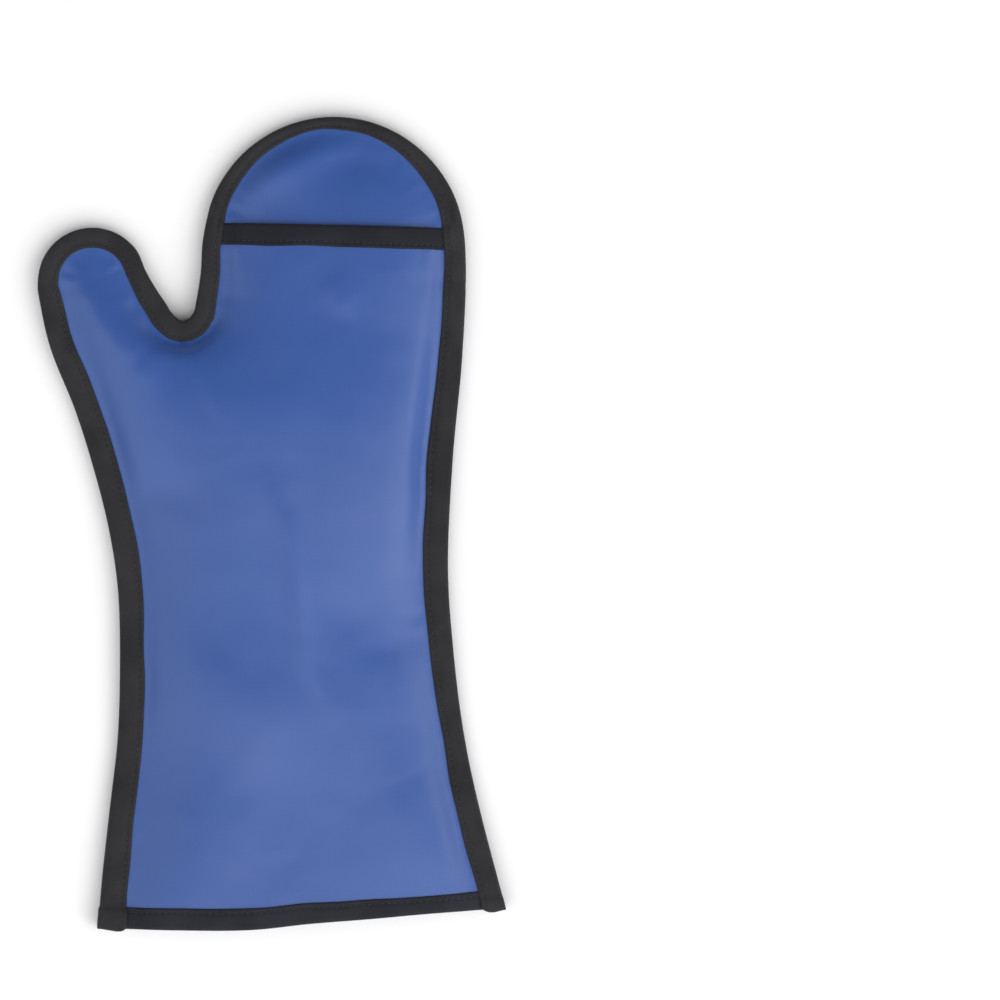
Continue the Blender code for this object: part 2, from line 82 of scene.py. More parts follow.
# %% Set the camera
MM = 0.001
VIEW_WIDTH = 490.8 * MM       # what the picture spans at the height of the tape
VIEW_CENTRE = (112.4 * MM, 11.5 * MM)
TAPE_LEVEL = 4.0 * MM
LENS = 180.0
SENSOR = 36.0
CLIP_START = 10 * MM


def new_object(name, data):
    """An object that shows the given data, linked into the scene."""
    made = bpy.data.objects.new(name, data)
    bpy.context.scene.collection.objects.link(made)
    return made


camera_data = bpy.data.cameras.new("camera")
camera_data.lens = LENS
camera_data.sensor_width = SENSOR
camera_data.clip_start = CLIP_START
camera = new_object("camera", camera_data)
camera.location = (*VIEW_CENTRE, TAPE_LEVEL + VIEW_WIDTH * LENS / SENSOR)
bpy.context.scene.camera = camera
print("camera height", round(camera.location.z, 4))

# %% [markdown]
# Materials are small node trees. A few helpers keep each tree short enough to read: one adds
# a node and sets or links its sockets, and the others do that for the kinds that come up
# again and again, which are noise, bump, a change of range and a mix of two colours.

# %% Helpers for node trees
def set_sockets(tree, node, values):
    """Set a node's inputs, or link those whose value is the output of another node."""
    for socket, value in values.items():
        if isinstance(value, bpy.types.NodeSocket):
            tree.links.new(value, node.inputs[socket])
        else:
            node.inputs[socket].default_value = value


def add_node(tree, kind, inputs=None, **options):
    """Add a node, set its options, then its inputs."""
    node = tree.nodes.new(kind)
    for option, value in options.items():
        setattr(node, option, value)
    set_sockets(tree, node, inputs or {})
    return node


def add_noise(tree, place, scale, detail, roughness=0.5):
    """Smooth random values in space."""
    return add_node(tree, "ShaderNodeTexNoise", {
        "Vector": place, "Scale": scale, "Detail": detail, "Roughness": roughness}).outputs["Fac"]


def add_bump(tree, height, distance, strength, **more):
    """A surface direction that looks raised by a pattern."""
    return add_node(tree, "ShaderNodeBump", {
        "Height": height, "Distance": distance, "Strength": strength, **more}).outputs["Normal"]


def add_range(tree, value, start, end, before, after, **options):
    """A value taken from one range to another."""
    return add_node(tree, "ShaderNodeMapRange", {
        "Value": value, "From Min": start, "From Max": end, "To Min": before, "To Max": after,
    }, **options).outputs[0]


def add_mix(tree, share, first, second, **options):
    """A colour between two others."""
    inputs = {0: share, 6: first, 7: second}
    return add_node(tree, "ShaderNodeMix", inputs, data_type="RGBA", **options).outputs[2]


def new_material(name):
    """An empty material with its tree, its shader and its Object coordinates."""
    material = bpy.data.materials.new(name)
    material.use_nodes = True
    tree = material.node_tree
    shader = tree.nodes["Principled BSDF"]
    coordinates = tree.nodes.new("ShaderNodeTexCoord")
    return material, tree, shader, coordinates


# %% [markdown]
# Soft light shows satin cloth best: a hard lamp would leave small hot spots.
# One large softbox stands above the cuff, on the outer side. The room does the rest, because
# satin mirrors it: its ceiling is bright over the cuff and dim past the fingertips, so a
# slope that turns to the cuff shines and one that turns away goes deep blue. A window on
# the outer side lights the rim of the glove there, a weaker one the thumb side. The walls are
# dim below, or the cloth would turn pale when it is seen at a low angle.

# %% Light the glove
LIGHT_PLACE = (0.70, -1.35, 1.95)
LIGHT_AIM = (0.0, -0.02, 0.0)
LIGHT_SIZE = 3.2
LIGHT_POWER = 33.0

softbox_data = bpy.data.lights.new("softbox", "AREA")
softbox_data.size = LIGHT_SIZE
softbox_data.energy = LIGHT_POWER
softbox = new_object("softbox", softbox_data)
softbox.location = LIGHT_PLACE
aim = Vector(LIGHT_AIM) - Vector(LIGHT_PLACE)
softbox.rotation_euler = aim.to_track_quat("-Z", "Y").to_euler()

Glow = namedtuple("Glow", "name side start end before after")
GLOWS = (
    Glow("ceiling, dim past the fingertips", (0.25, 1.0, 0.0), -0.03, 0.06, 1.07, 0.19),
    Glow("window, outer side", (1.0, -0.15, 0.0), 0.38, 0.80, 0.0, 2.1),
    Glow("window, thumb side", (-1.0, -0.3, 0.0), 0.24, 0.64, 0.0, 0.45),
)
WALLS = Glow("walls", (0.0, 0.0, 1.0), 0.1, 0.55, 0.3, 1.0)

room = bpy.data.worlds.new("room")
room.use_nodes = True
sky = room.node_tree
ray = add_node(sky, "ShaderNodeTexCoord").outputs["Generated"]


def room_glow(glow):
    """Brightness that changes smoothly with how far a ray leans to one side."""
    lean = add_node(sky, "ShaderNodeVectorMath", {0: ray, 1: glow.side}, operation="DOT_PRODUCT")
    return add_range(sky, lean.outputs["Value"], *glow[2:], interpolation_type="SMOOTHSTEP")


total = 0.0
for glow in GLOWS:
    total = add_node(sky, "ShaderNodeMath", {0: total, 1: room_glow(glow)}).outputs[0]
strength = add_node(sky, "ShaderNodeMath", {0: total, 1: room_glow(WALLS)}, operation="MULTIPLY")
set_sockets(sky, sky.nodes["Background"], {"Color": (1.0, 1.0, 1.0, 1.0), "Strength": strength.outputs[0]})
bpy.context.scene.world = room
bpy.context.scene.view_settings.view_transform = "Standard"
print("room glows", [glow.name for glow in GLOWS])

# %% [markdown]
# The glove lies on a plain pale table. The floor is one large square just under the cloth.

# %% Lay the floor
FLOOR_SIDE = 6.0
FLOOR_DROP = 0.2 * MM
FLOOR_COLOUR = (0.86, 0.86, 0.87, 1.0)
FLOOR_ROUGHNESS = 0.9

floor_mesh = bmesh.new()
bmesh.ops.create_grid(floor_mesh, x_segments=1, y_segments=1, size=FLOOR_SIDE / 2)
bmesh.ops.translate(floor_mesh, verts=floor_mesh.verts, vec=(0.0, 0.0, -FLOOR_DROP))
floor_data = bpy.data.meshes.new("floor")
floor_mesh.to_mesh(floor_data)
floor_mesh.free()
floor = new_object("floor", floor_data)
floor_finish, floor_tree, floor_shader, _ = new_material("pale table")
set_sockets(floor_tree, floor_shader, {"Base Color": FLOOR_COLOUR, "Roughness": FLOOR_ROUGHNESS})
floor_data.materials.append(floor_finish)
print("floor", FLOOR_SIDE, "m wide")

# %% [markdown]
# The nylon is a tight plain weave with a coating, so it has a satin shine and a faint
# grain rather than threads that stand out. Two sets of bands at right angles, multiplied,
# make the weave. A slow noise lets the blue and the shine drift a little, as they do where
# a coating has been handled, and a finer one makes the surface slightly uneven.
# A picture of cloth would do this too, but nodes stay sharp at any distance.

# %% Make the nylon
BAND_PERIOD = 2 * math.pi / 20.0     # length of one band of a Wave texture at scale 1
WEAVE_PITCH = 0.62 * MM
WEAVE_DEPTH = 0.05 * MM
UNEVEN_DEPTH = 0.35 * MM
UNEVEN_SCALE = 120.0
DRIFT_SCALE = 14.0
DRIFT_MIDDLE = (0.3, 0.7)            # where most values of a noise lie
GRAIN = (0.86, 1.06)                 # how dark and how light the weave makes the blue
SHINE = (0.58, 0.48)                 # roughness where the blue is dark and where it is light


def make_nylon(name, dark, light):
    """Coated nylon between two blues."""
    material, tree, shader, coordinates = new_material(name)
    place = coordinates.outputs["Object"]
    bands = []
    for direction in ("X", "Y"):
        bands.append(add_node(tree, "ShaderNodeTexWave", bands_direction=direction, inputs={
            "Vector": place, "Scale": BAND_PERIOD / WEAVE_PITCH, "Distortion": 0.6, "Detail": 1.0,
            "Detail Scale": 2.0}).outputs["Fac"])
    weave = add_node(tree, "ShaderNodeMath", {0: bands[0], 1: bands[1]}, operation="MULTIPLY").outputs[0]
    drift = add_noise(tree, place, DRIFT_SCALE, 3.0, 0.45)
    blue = add_mix(tree, drift, (*dark, 1.0), (*light, 1.0))
    grain = add_range(tree, weave, 0.0, 1.0, *GRAIN)
    uneven = add_bump(tree, add_noise(tree, place, UNEVEN_SCALE, 2.0), UNEVEN_DEPTH, 0.25)
    set_sockets(tree, shader, {
        "Base Color": add_mix(tree, 1.0, blue, grain, blend_type="MULTIPLY"),
        "Roughness": add_range(tree, drift, *DRIFT_MIDDLE, *SHINE),
        "Specular IOR Level": 0.3,
        "Coat Weight": 0.60,
        "Coat Roughness": 0.26,
        "Coat Normal": uneven,
        "Normal": add_bump(tree, weave, WEAVE_DEPTH, 0.8, Normal=uneven),
    })
    return material


palm_nylon = make_nylon("palm nylon", (0.022, 0.073, 0.290), (0.029, 0.092, 0.342))
hood_nylon = make_nylon("hood nylon", (0.022, 0.073, 0.290), (0.029, 0.092, 0.342))
back_nylon = make_nylon("back nylon", (0.022, 0.072, 0.285), (0.028, 0.088, 0.330))
print("nylon weave", WEAVE_PITCH, "m")

# %% [markdown]
# The binding is a woven tape with fine ribs across it. Its pattern has to follow the tape
# round the thumb, so it reads the tape's own map: along the tape in metres one way, and
# round its fold the other. A noise leaves it rubbed a little paler in patches.

# %% Make the tape and the thread
RIB_PITCH = 0.95 * MM
RIB_DEPTH = 0.11 * MM
YARN_PITCH = 0.6 * RIB_PITCH
YARN_SHARE = 0.35                    # how much the yarns along the tape add to its ribs
DUST_SCALE = 55.0
WORN = (0.35, 0.75)                  # from where in the noise the tape is rubbed
FIBRE_SCALE = 1800.0
FIBRE_DEPTH = 0.05 * MM
THREAD_COLOUR = (0.014, 0.014, 0.017, 1.0)


def make_tape(name, dark, rubbed):
    """Black woven tape with ribs across it."""
    material, tree, shader, coordinates = new_material(name)
    along = coordinates.outputs["UV"]
    ribs = add_node(tree, "ShaderNodeTexWave", bands_direction="X", inputs={
        "Vector": along, "Scale": BAND_PERIOD / RIB_PITCH, "Distortion": 0.8, "Detail": 1.5})
    yarns = add_node(tree, "ShaderNodeTexWave", bands_direction="Y", inputs={
        "Vector": along, "Scale": BAND_PERIOD / YARN_PITCH, "Distortion": 1.2})
    weave = add_node(tree, "ShaderNodeMath", operation="MULTIPLY_ADD", inputs={
        0: yarns.outputs["Fac"], 1: YARN_SHARE, 2: ribs.outputs["Fac"]}).outputs[0]
    worn = add_range(
        tree, add_noise(tree, coordinates.outputs["Object"], DUST_SCALE, 4.0), *WORN, 0.0, 1.0)
    set_sockets(tree, shader, {
        "Base Color": add_mix(tree, worn, (*dark, 1.0), (*rubbed, 1.0)),
        "Roughness": 0.78,
        "Specular IOR Level": 0.25,
        "Sheen Weight": 0.04,
        "Sheen Roughness": 0.5,
        "Normal": add_bump(tree, weave, RIB_DEPTH, 0.8),
    })
    return material


def make_thread():
    """Black polyester thread, a little smoother than the tape."""
    material, tree, shader, coordinates = new_material("black thread")
    fibres = add_noise(tree, coordinates.outputs["Object"], FIBRE_SCALE, 1.0)
    set_sockets(tree, shader, {
        "Base Color": THREAD_COLOUR, "Roughness": 0.5, "Normal": add_bump(tree, fibres, FIBRE_DEPTH, 0.6)})
    return material


edge_tape = make_tape("edge tape", (0.013, 0.013, 0.015), (0.024, 0.024, 0.026))
slit_tape = make_tape("slit tape", (0.006, 0.008, 0.013), (0.012, 0.014, 0.021))
cuff_tape = make_tape("cuff tape", (0.009, 0.010, 0.016), (0.017, 0.019, 0.027))
thread = make_thread()
print("tape ribs", RIB_PITCH, "m")

# %% [markdown]
# The outline is the one that the solid model was cut from: the tape's outer edge, with
# the tape's width beside each point. Round stretches are arcs. Lengths in the tables are
# millimetres, because that is how a pattern is marked out.

# %% The tables of the outline
Knot = namedtuple("Knot", "name x y tape")
Arc = namedtuple("Arc", "name x y radius start end steps tape_start tape_end")

OUTLINE = (
    Knot("cuff corner, thumb side", -84.9, -199.5, 13.4),
    Knot("gauntlet, thumb side", -82.9, -174.0, 13.2),
    Knot("gauntlet middle", -79.0, -138.7, 12.6),
    Knot("above the gauntlet", -75.1, -103.3, 12.2),
    Knot("wrist, thumb side", -74.1, -65.0, 12.2),
    Knot("heel of the hand", -75.1, -32.6, 12.2),
    Knot("thumb root, low", -79.5, -3.2, 12.2),
    Knot("thumb root", -86.9, 26.3, 12.2),
    Knot("thumb, low", -96.2, 55.7, 12.2),
    Knot("thumb, middle", -108.0, 85.2, 12.0),
    Knot("thumb, high", -113.4, 108.7, 11.0),
    Arc("thumb tip", -87.6, 118.3, 26.8, 180, 12, 7, 10.2, 9.6),
    Knot("thumb, inner side", -56.0, 114.6, 10.6),
    Knot("crotch, thumb side", -52.0, 108.7, 10.4),
    Arc("crotch", -43.2, 104.8, 5.4, 200, 340, 2, 10.3, 10.3),
    Knot("crotch, finger side", -36.3, 110.7, 10.0),
    Knot("first finger", -34.4, 123.4, 9.6),
    Arc("hood, thumb half", 30.9, 135.2, 64.3, 175, 95, 4, 9.2, 6.0),
    Arc("hood, outer half", 30.9, 135.2, 64.3, 75, 15, 3, 6.8, 10.0),
    Knot("last finger", 95.7, 124.4, 10.6),
    Knot("edge of the palm", 93.7, 79.3, 11.6),
    Knot("heel, outer side", 89.3, 32.1, 12.4),
    Knot("wrist, outer side", 86.9, -20.9, 12.2),
    Knot("above the gauntlet, outer side", 89.8, -65.0, 11.4),
    Knot("gauntlet top, outer side", 94.7, -103.3, 10.6),
    Knot("gauntlet middle, outer side", 102.1, -138.7, 11.2),
    Knot("cuff corner, outer side", 114.8, -187.2, 11.0),
)

HEM = (
    Knot("outer corner", 104.0, -189.4, 8.8),
    Knot("outer quarter", 78.0, -190.9, 9.0),
    Knot("right of the middle", 50.0, -193.3, 9.6),
    Knot("middle", 20.0, -195.7, 10.2),
    Knot("left of the middle", -10.0, -198.8, 10.8),
    Knot("thumb-side quarter", -45.0, -199.1, 10.8),
    Knot("thumb-side corner", -72.0, -198.8, 10.8),
)

SLIT = (
    Knot("thumb-side end", -24.0, 147.3, 10.6),
    Knot("middle", 31.0, 146.0, 10.8),
    Knot("outer end", 85.0, 144.8, 11.0),
)
print("outline rows", len(OUTLINE))

# %% [markdown]
# Two small helpers come before the lines themselves. One turns a table into plain knots,
# with the arcs taken at even angles. The other is a smooth random curve, a sum of waves,
# because nothing that a hand feeds through a machine runs quite even.

# %% Read a table, and let a value wander
def wander(length, seed, shortest, longest, waves=6):
    """A smooth random curve along a length, about -2 to 2."""
    random = np.random.default_rng(seed)
    total = np.zeros_like(length)
    for wave in np.geomspace(shortest, longest, waves):
        total += np.sin(2 * np.pi * (length / wave + random.random()))
    return total / math.sqrt(waves / 2)


def knots_of(rows):
    """x, y and tape width of each knot, with arcs taken at even angles."""
    knots = []
    for row in rows:
        if isinstance(row, Knot):
            knots.append((row.x, row.y, row.tape))
            continue
        for share in np.linspace(0.0, 1.0, row.steps + 1):
            angle = math.radians(row.start + (row.end - row.start) * share)
            knots.append((
                row.x + row.radius * math.cos(angle),
                row.y + row.radius * math.sin(angle),
                row.tape_start + (row.tape_end - row.tape_start) * share,
            ))
    return np.array(knots)


print("outline knots", len(knots_of(OUTLINE)))

# %% [markdown]
# A smooth curve through the knots gives the tape's edge, at even steps small enough for
# the camera. At each step we keep the point, the direction in towards the cloth, the
# tape's width and the length so far. A hand-fed tape wanders a little, so its width does.
# A Bezier curve object would draw the line too, but the steps are needed as numbers here.

# %% Draw the smooth lines
LINE_STEP = 1.5
STRETCH_SAMPLES = 24         # places worked out on each stretch between two knots
TAPE_WANDER = 0.15
TAPE_WAVES = (30.0, 110.0)   # its shortest and longest wave

Line = namedtuple("Line", "points inward tape length")


def smooth_line(knots, step, seed):
    """A line through knots at even steps, with the cloth on its right hand."""
    ends = np.vstack([2 * knots[0] - knots[1], knots, 2 * knots[-1] - knots[-2]])
    stretches = []
    for before, start, end, after in zip(ends, ends[1:], ends[2:], ends[3:]):
        t = np.linspace(0.0, 1.0, STRETCH_SAMPLES, endpoint=False)[:, None]
        place = (
            2 * start + (end - before) * t
            + (2 * before - 5 * start + 4 * end - after) * t ** 2
            + (3 * start - before - 3 * end + after) * t ** 3
        ) / 2
        place[:, 2] = (start + (end - start) * t)[:, 2]
        stretches.append(place)
    dense = np.vstack(stretches + [knots[-1:]])
    run = np.concatenate([[0.0], np.cumsum(np.hypot(*np.diff(dense[:, :2], axis=0).T))])
    length = np.linspace(0.0, run[-1], round(run[-1] / step) + 1)
    even = np.column_stack([np.interp(length, run, column) for column in dense.T])
    along = np.gradient(even[:, :2], axis=0)
    along /= np.hypot(*along.T)[:, None]
    inward = np.column_stack([along[:, 1], -along[:, 0]])
    tape = even[:, 2] + TAPE_WANDER * wander(length, seed, *TAPE_WAVES)
    return Line(even[:, :2], inward, tape, length)


def inset(line, distance):
    """The line moved in from the tape's outer edge; distance may be one for each point."""
    return line.points + line.inward * np.broadcast_to(distance, line.length.shape)[:, None]


edge = smooth_line(knots_of(OUTLINE), LINE_STEP, seed=3)
print("edge tape", round(edge.length[-1]), "mm long,", len(edge.length), "stations")

# %% [markdown]
# The hem and slit tapes run across from seam to seam, and their ends are caught under the
# edge tape. So each cross line is carried on until it lies a few millimetres under it.

# %% Carry the cross lines under the edge tape
CAUGHT = 4.5                 # how far a cross tape runs on under the edge tape
PANEL_INSET = 1.5            # from a tape's outer edge in to the cut edge of a panel
CLAMP_MARGIN = 0.3           # from the tape's inner edge to where a panel may rise
CUFF_RUN_ON = 70.0           # the free cuff is worked out as if the sleeve went on this far
CROTCH_X = -45.0             # the fingers lie on the high side of this, the thumb on the other

clamp = inset(edge, edge.tape + CLAMP_MARGIN)
cut = inset(edge, PANEL_INSET)


def crossing(line, y, right):
    """Where a line crosses a height y: its rightmost or its leftmost place."""
    low, high = line[:-1], line[1:]
    found = (low[:, 1] - y) * (high[:, 1] - y) <= 0
    low, high = low[found], high[found]
    share = (y - low[:, 1]) / (high[:, 1] - low[:, 1])
    x = low[:, 0] + (high[:, 0] - low[:, 0]) * share
    return x.max() if right else x.min()


finger_side = clamp[clamp[:, 0] > CROTCH_X]
slit_ends = (
    crossing(finger_side, SLIT[0].y, False) - CAUGHT,
    crossing(finger_side, SLIT[-1].y, True) + CAUGHT,
)
hem_ends = (
    crossing(clamp, HEM[0].y + HEM[0].tape, True) + CAUGHT,
    crossing(clamp, HEM[-1].y + HEM[-1].tape, False) - CAUGHT,
)


def cross_line(rows, ends, seed):
    """A cross tape's line, whose end knots are moved out to the given places."""
    knots = knots_of(rows)
    first = np.array([[ends[0], knots[0, 1], knots[0, 2]]])
    last = np.array([[ends[1], knots[-1, 1], knots[-1, 2]]])
    return smooth_line(np.vstack([first, knots, last]), LINE_STEP, seed)


slit = cross_line(SLIT, slit_ends, seed=11)
hem = cross_line(HEM, hem_ends, seed=12)
print("slit tape", round(slit.length[-1]), "mm, hem tape", round(hem.length[-1]), "mm")

# %% [markdown]
# Cloth starts as a flat cut, so a panel starts as a flat mesh. A Delaunay mesh fills its
# border with even triangles that follow any lines drawn on it. Blender's own fill makes
# long thin triangles instead, and those would crease when the panel swells.

# %% Fill a border with triangles
GRID_STEP = 2.1
GRID_CLEAR = 0.6
MERGE = 0.02                 # points nearer than this become one, so that no triangle is a sliver

Cut = namedtuple("Cut", "points triangles")


def inside(loop, points):
    """Even-odd test of points against a closed loop."""
    hits = np.zeros(len(points), dtype=bool)
    x, y = points.T
    for (x0, y0), (x1, y1) in zip(loop, np.roll(loop, -1, axis=0)):
        if y0 != y1:
            hits ^= ((y0 > y) != (y1 > y)) & (x < (x1 - x0) * (y - y0) / (y1 - y0) + x0)
    return hits


def near_points(marks):
    """A lookup of the nearest mark to any flat point."""
    tree = KDTree(len(marks))
    for index, mark in enumerate(marks):
        tree.insert((*mark, 0.0), index)
    tree.balance()
    return tree


def mesh_flat(border, lines):
    """Triangles inside a closed border, which follow the open lines drawn on it."""
    points, edges = [], []
    for line, closed in [(border, True)] + lines:
        first = len(points)
        points += [Vector(point) for point in line]
        ids = list(range(first, len(points))) + ([first] if closed else [])
        edges += list(zip(ids, ids[1:]))
    near = near_points(points)
    low, high = border.min(axis=0), border.max(axis=0)
    row_step = GRID_STEP * math.sqrt(3.0) / 2
    for row, y in enumerate(np.arange(low[1], high[1], row_step)):
        xs = np.arange(low[0] + GRID_STEP / 2 * (row % 2), high[0], GRID_STEP)
        spots = np.column_stack([xs, np.full(xs.shape, y)])
        for spot in spots[inside(border, spots)]:
            if near.find((*spot, 0.0))[2] > GRID_STEP * GRID_CLEAR:
                points.append(Vector(spot))
    made = delaunay_2d_cdt(points, edges, [], 1, MERGE)
    return Cut(np.array([tuple(point) for point in made[0]]), np.array(made[2]))


print("triangles", GRID_STEP, "mm wide")

# %% [markdown]
# The upper side of the glove is thought of first as one sheet, with lines drawn on it where
# the palm panel and the hood are cut. Palm and hood are then picked out of the same mesh,
# so their swelling runs on smoothly from one to the other, as cloth over one hand would.

# %% Mesh the upper side
TONGUE = 15.0                # how far the hood runs on under the palm's edge
TONGUE_SIDE = 4.0
TONGUE_LEAN = 3.0            # how much its sides lean in
TONGUE_POINTS = 45           # points along each of its three sides, so that no triangle is long
HOOD_TUCK = 2.0

slit_cut = inset(slit, PANEL_INSET)
hem_cut = inset(hem, PANEL_INSET)
hem_run = np.vstack([cut[-3:-2], hem_cut, cut[2:3]])


def slit_y(x):
    """The slit tape's upper edge at some x."""
    return np.interp(x, slit.points[:, 0], slit.points[:, 1])


def hem_y(x):
    """The panels' cut edge at the cuff, at some x."""
    return np.interp(x, hem_run[::-1, 0], hem_run[::-1, 1])


run_on = np.array([(0.0, -CUFF_RUN_ON)])
upper_border = np.vstack([cut[::2], cut[-1:], cut[-1:] + run_on, cut[:1] + run_on])
upper_clamp = np.vstack([clamp, clamp[-1:] + run_on, clamp[:1] + run_on])
tongue_left = slit_ends[0] + CAUGHT + TONGUE_SIDE
tongue_right = slit_ends[1] - CAUGHT - TONGUE_SIDE
tongue_x = np.array((tongue_left, tongue_left + TONGUE_LEAN, tongue_right - TONGUE_LEAN, tongue_right))
tongue_y = slit_y(tongue_x) - (HOOD_TUCK, TONGUE, TONGUE, HOOD_TUCK)
corner_run = np.linspace(0.0, 3.0, 3 * TONGUE_POINTS + 1)
tongue_line = np.column_stack([np.interp(corner_run, range(4), way) for way in (tongue_x, tongue_y)])
hood_base = slit.points[::2] - (0.0, HOOD_TUCK)
open_lines = [(line, False) for line in (slit_cut, hem_cut, hood_base, tongue_line)]
upper = mesh_flat(upper_border, [(upper_clamp, True)] + open_lines)
print("upper side", len(upper.points), "points")

# %% [markdown]
# Sewn flat round its edge and a little slack in the middle, the upper side stands up as
# a soap film does on a wire: steeply by the seam, then more and more level. We solve for
# that film on the triangles. Each pass sets a point to the mean of its neighbours, with
# a small pull upwards, and points under the tape are held down. A cloth simulation would
# find the same broad shape, but it would not give the same one on every machine.

# %% Raise a film over a flat cut
FILM_PASSES = 1500
CROWN_SPREAD = 20.5          # how fast the palm side rises from its seams
WEIGHT_LIMITS = (0.02, 5.0)  # a thin triangle may count no less and no more than this


def nearest(marks, points):
    """Index of the nearest mark, and how far it is, for each point."""
    tree = near_points(marks)
    found = [tree.find((*point, 0.0)) for point in points]
    return np.array([hit[1] for hit in found]), np.array([hit[2] for hit in found])


def film_over(sheet, held, spread):
    """Height from 0 to 1 of a film that is held down at some points."""
    count = len(sheet.points)
    starts, ends, weights, area = [], [], [], np.zeros(count)
    for a, b, c in ((0, 1, 2), (1, 2, 0), (2, 0, 1)):
        corner = sheet.points[sheet.triangles[:, c]]
        u = sheet.points[sheet.triangles[:, a]] - corner
        v = sheet.points[sheet.triangles[:, b]] - corner
        cross = np.maximum(np.abs(u[:, 0] * v[:, 1] - u[:, 1] * v[:, 0]), MERGE ** 2)
        starts.append(sheet.triangles[:, a])
        ends.append(sheet.triangles[:, b])
        weights.append(np.clip((u * v).sum(axis=1) / cross / 2, *WEIGHT_LIMITS))
        area += np.bincount(sheet.triangles[:, c], cross / 6, count)
    starts, ends = np.concatenate(starts + ends), np.concatenate(ends + starts)
    weights = np.concatenate(weights + weights)
    pull = area / spread ** 2
    total = np.bincount(starts, weights, count) + pull
    height = np.zeros(count)
    for _ in range(FILM_PASSES):
        height = (np.bincount(starts, weights * height[ends], count) + pull) / total
        height[held] = 0.0
    return height


_, gap_to_clamp = nearest(upper_clamp, upper.points)
held_down = (gap_to_clamp < GRID_STEP / 4) | ~inside(upper_clamp, upper.points)
film = film_over(upper, held_down, CROWN_SPREAD)
print("film up to", round(film.max(), 2))

# %% [markdown]
# On that broad swell lie the dents and folds of a stiff lead panel that has been handled:
# the broad ones first, then finer creases. Each is a soft ridge or groove along one line,
# bent a little by noise so that none is ruled. Near the seams the cloth puckers, most where
# the tape turns sharply. A displacement texture could add them too, but then no fold would
# be where this glove has it.

# %% The tables of the relief
Bump = namedtuple("Bump", "name x y radius height")
Fold = namedtuple("Fold", "name x0 y0 x1 y1 half_width height")

RIM = (
    Bump("fingertips", 31.0, 205.0, 75.0, 1.5),
    Bump("thumb tip", -104.0, 138.0, 50.0, 1.8),
    Bump("crotch", -42.0, 100.0, 30.0, 1.8),
    Bump("wrist, thumb side", -76.0, -45.0, 70.0, 1.0),
    Bump("wrist, outer side", 90.0, -15.0, 80.0, 1.3),
    Bump("cuff, outer corner", 112.0, -190.0, 50.0, 0.6),
)

FOLDS = (
    Fold("swell over the knuckles", -36.0, 52.0, 58.0, 40.0, 52.0, 4.1),
    Fold("hollow under the slit", -8.0, 118.0, 20.0, 114.0, 26.0, -1.2),
    Fold("roll along the outer edge", 70.0, 118.0, 70.0, 30.0, 13.0, 0.9),
    Fold("thumb swell", -104.0, 116.0, -62.0, 86.0, 19.0, 3.2),
    Fold("groove at the thumb root", -58.0, 92.0, -30.0, 30.0, 13.0, -1.0),
    Fold("long ridge down the wrist", 3.0, 20.0, 28.0, -88.0, 7.0, 1.8),
    Fold("hollow at the wrist, outer side", 48.0, -48.0, 58.0, -54.0, 22.0, -1.4),
    Fold("slack below the hollow", 44.0, -98.0, 64.0, -92.0, 22.0, 1.2),
    Fold("roll across the gauntlet", -56.0, -70.0, -6.0, -96.0, 26.0, 1.6),
    Fold("hollow of the gauntlet", -2.0, -178.0, 10.0, -150.0, 26.0, -1.0),
    Fold("swell of the cuff, outer side", 72.0, -120.0, 90.0, -175.0, 18.0, 2.4),
    Fold("fold over the fingertips", -26.0, 160.0, 40.0, 195.0, 11.0, 2.8),
    Fold("hollow beside the fold", 26.0, 176.0, 70.0, 176.0, 12.0, -1.0),
)

CREASES = (
    Fold("dent at the heel of the hand", -60.0, 13.0, -42.0, 11.0, 8.0, -0.9),
    Fold("fine crease down the wrist", 14.0, -14.0, 31.0, -80.0, 3.4, -0.35),
    Fold("pull from the crotch to the palm", -42.0, 92.0, -27.0, 51.0, 4.5, 0.2),
    Fold("pull from the crotch to the thumb", -50.0, 95.0, -74.0, 75.0, 4.5, -0.25),
    Fold("pucker under the slit, thumb side", -24.0, 130.0, -17.0, 108.0, 4.5, -0.2),
    Fold("pucker under the slit, outer side", 83.0, 128.0, 75.0, 108.0, 4.5, -0.3),
    Fold("pinch at the thumb tip", -91.0, 137.0, -86.0, 127.0, 2.0, 0.45),
    Fold("second pinch at the thumb tip", -98.0, 134.0, -91.0, 125.0, 2.2, -0.4),
    Fold("third pinch at the thumb tip", -83.0, 138.0, -81.0, 129.0, 1.8, -0.35),
    Fold("bump under the slit", 34.0, 116.0, 38.0, 112.0, 9.0, 0.7),
    Fold("tail of the gauntlet roll", 2.0, -112.0, 4.0, -160.0, 14.0, -0.9),
    Fold("slack at the outer waist", 60.0, -62.0, 64.0, -96.0, 8.0, 0.6),
)

PUCKERS = (
    Bump("thumb tip", -88.0, 132.0, 34.0, 0.24),
    Bump("crotch", -43.0, 102.0, 30.0, 0.07),
    Bump("slit, thumb side", -28.0, 142.0, 26.0, 0.13),
    Bump("slit, outer side", 90.0, 140.0, 26.0, 0.16),
    Bump("fingertips", 31.0, 190.0, 45.0, 0.06),
    Bump("waist, outer side", 80.0, -20.0, 60.0, 0.07),
)
print("folds", len(FOLDS), "creases", len(CREASES))

# %% [markdown]
# Each kind of row has a function that adds up its heights at any points of the glove. All
# of them fade smoothly, so no row leaves an edge of its own in the cloth.

# %% Add up bumps, folds and noise
TAPER = 0.85                 # how much of its height a long fold loses at its ends
TAPER_FROM = 2.0             # a fold this many half widths long starts to lose some
TAPER_OVER = 3.0
NOISE_GAIN = 1.6             # brings Blender's noise up to about -1 to 1


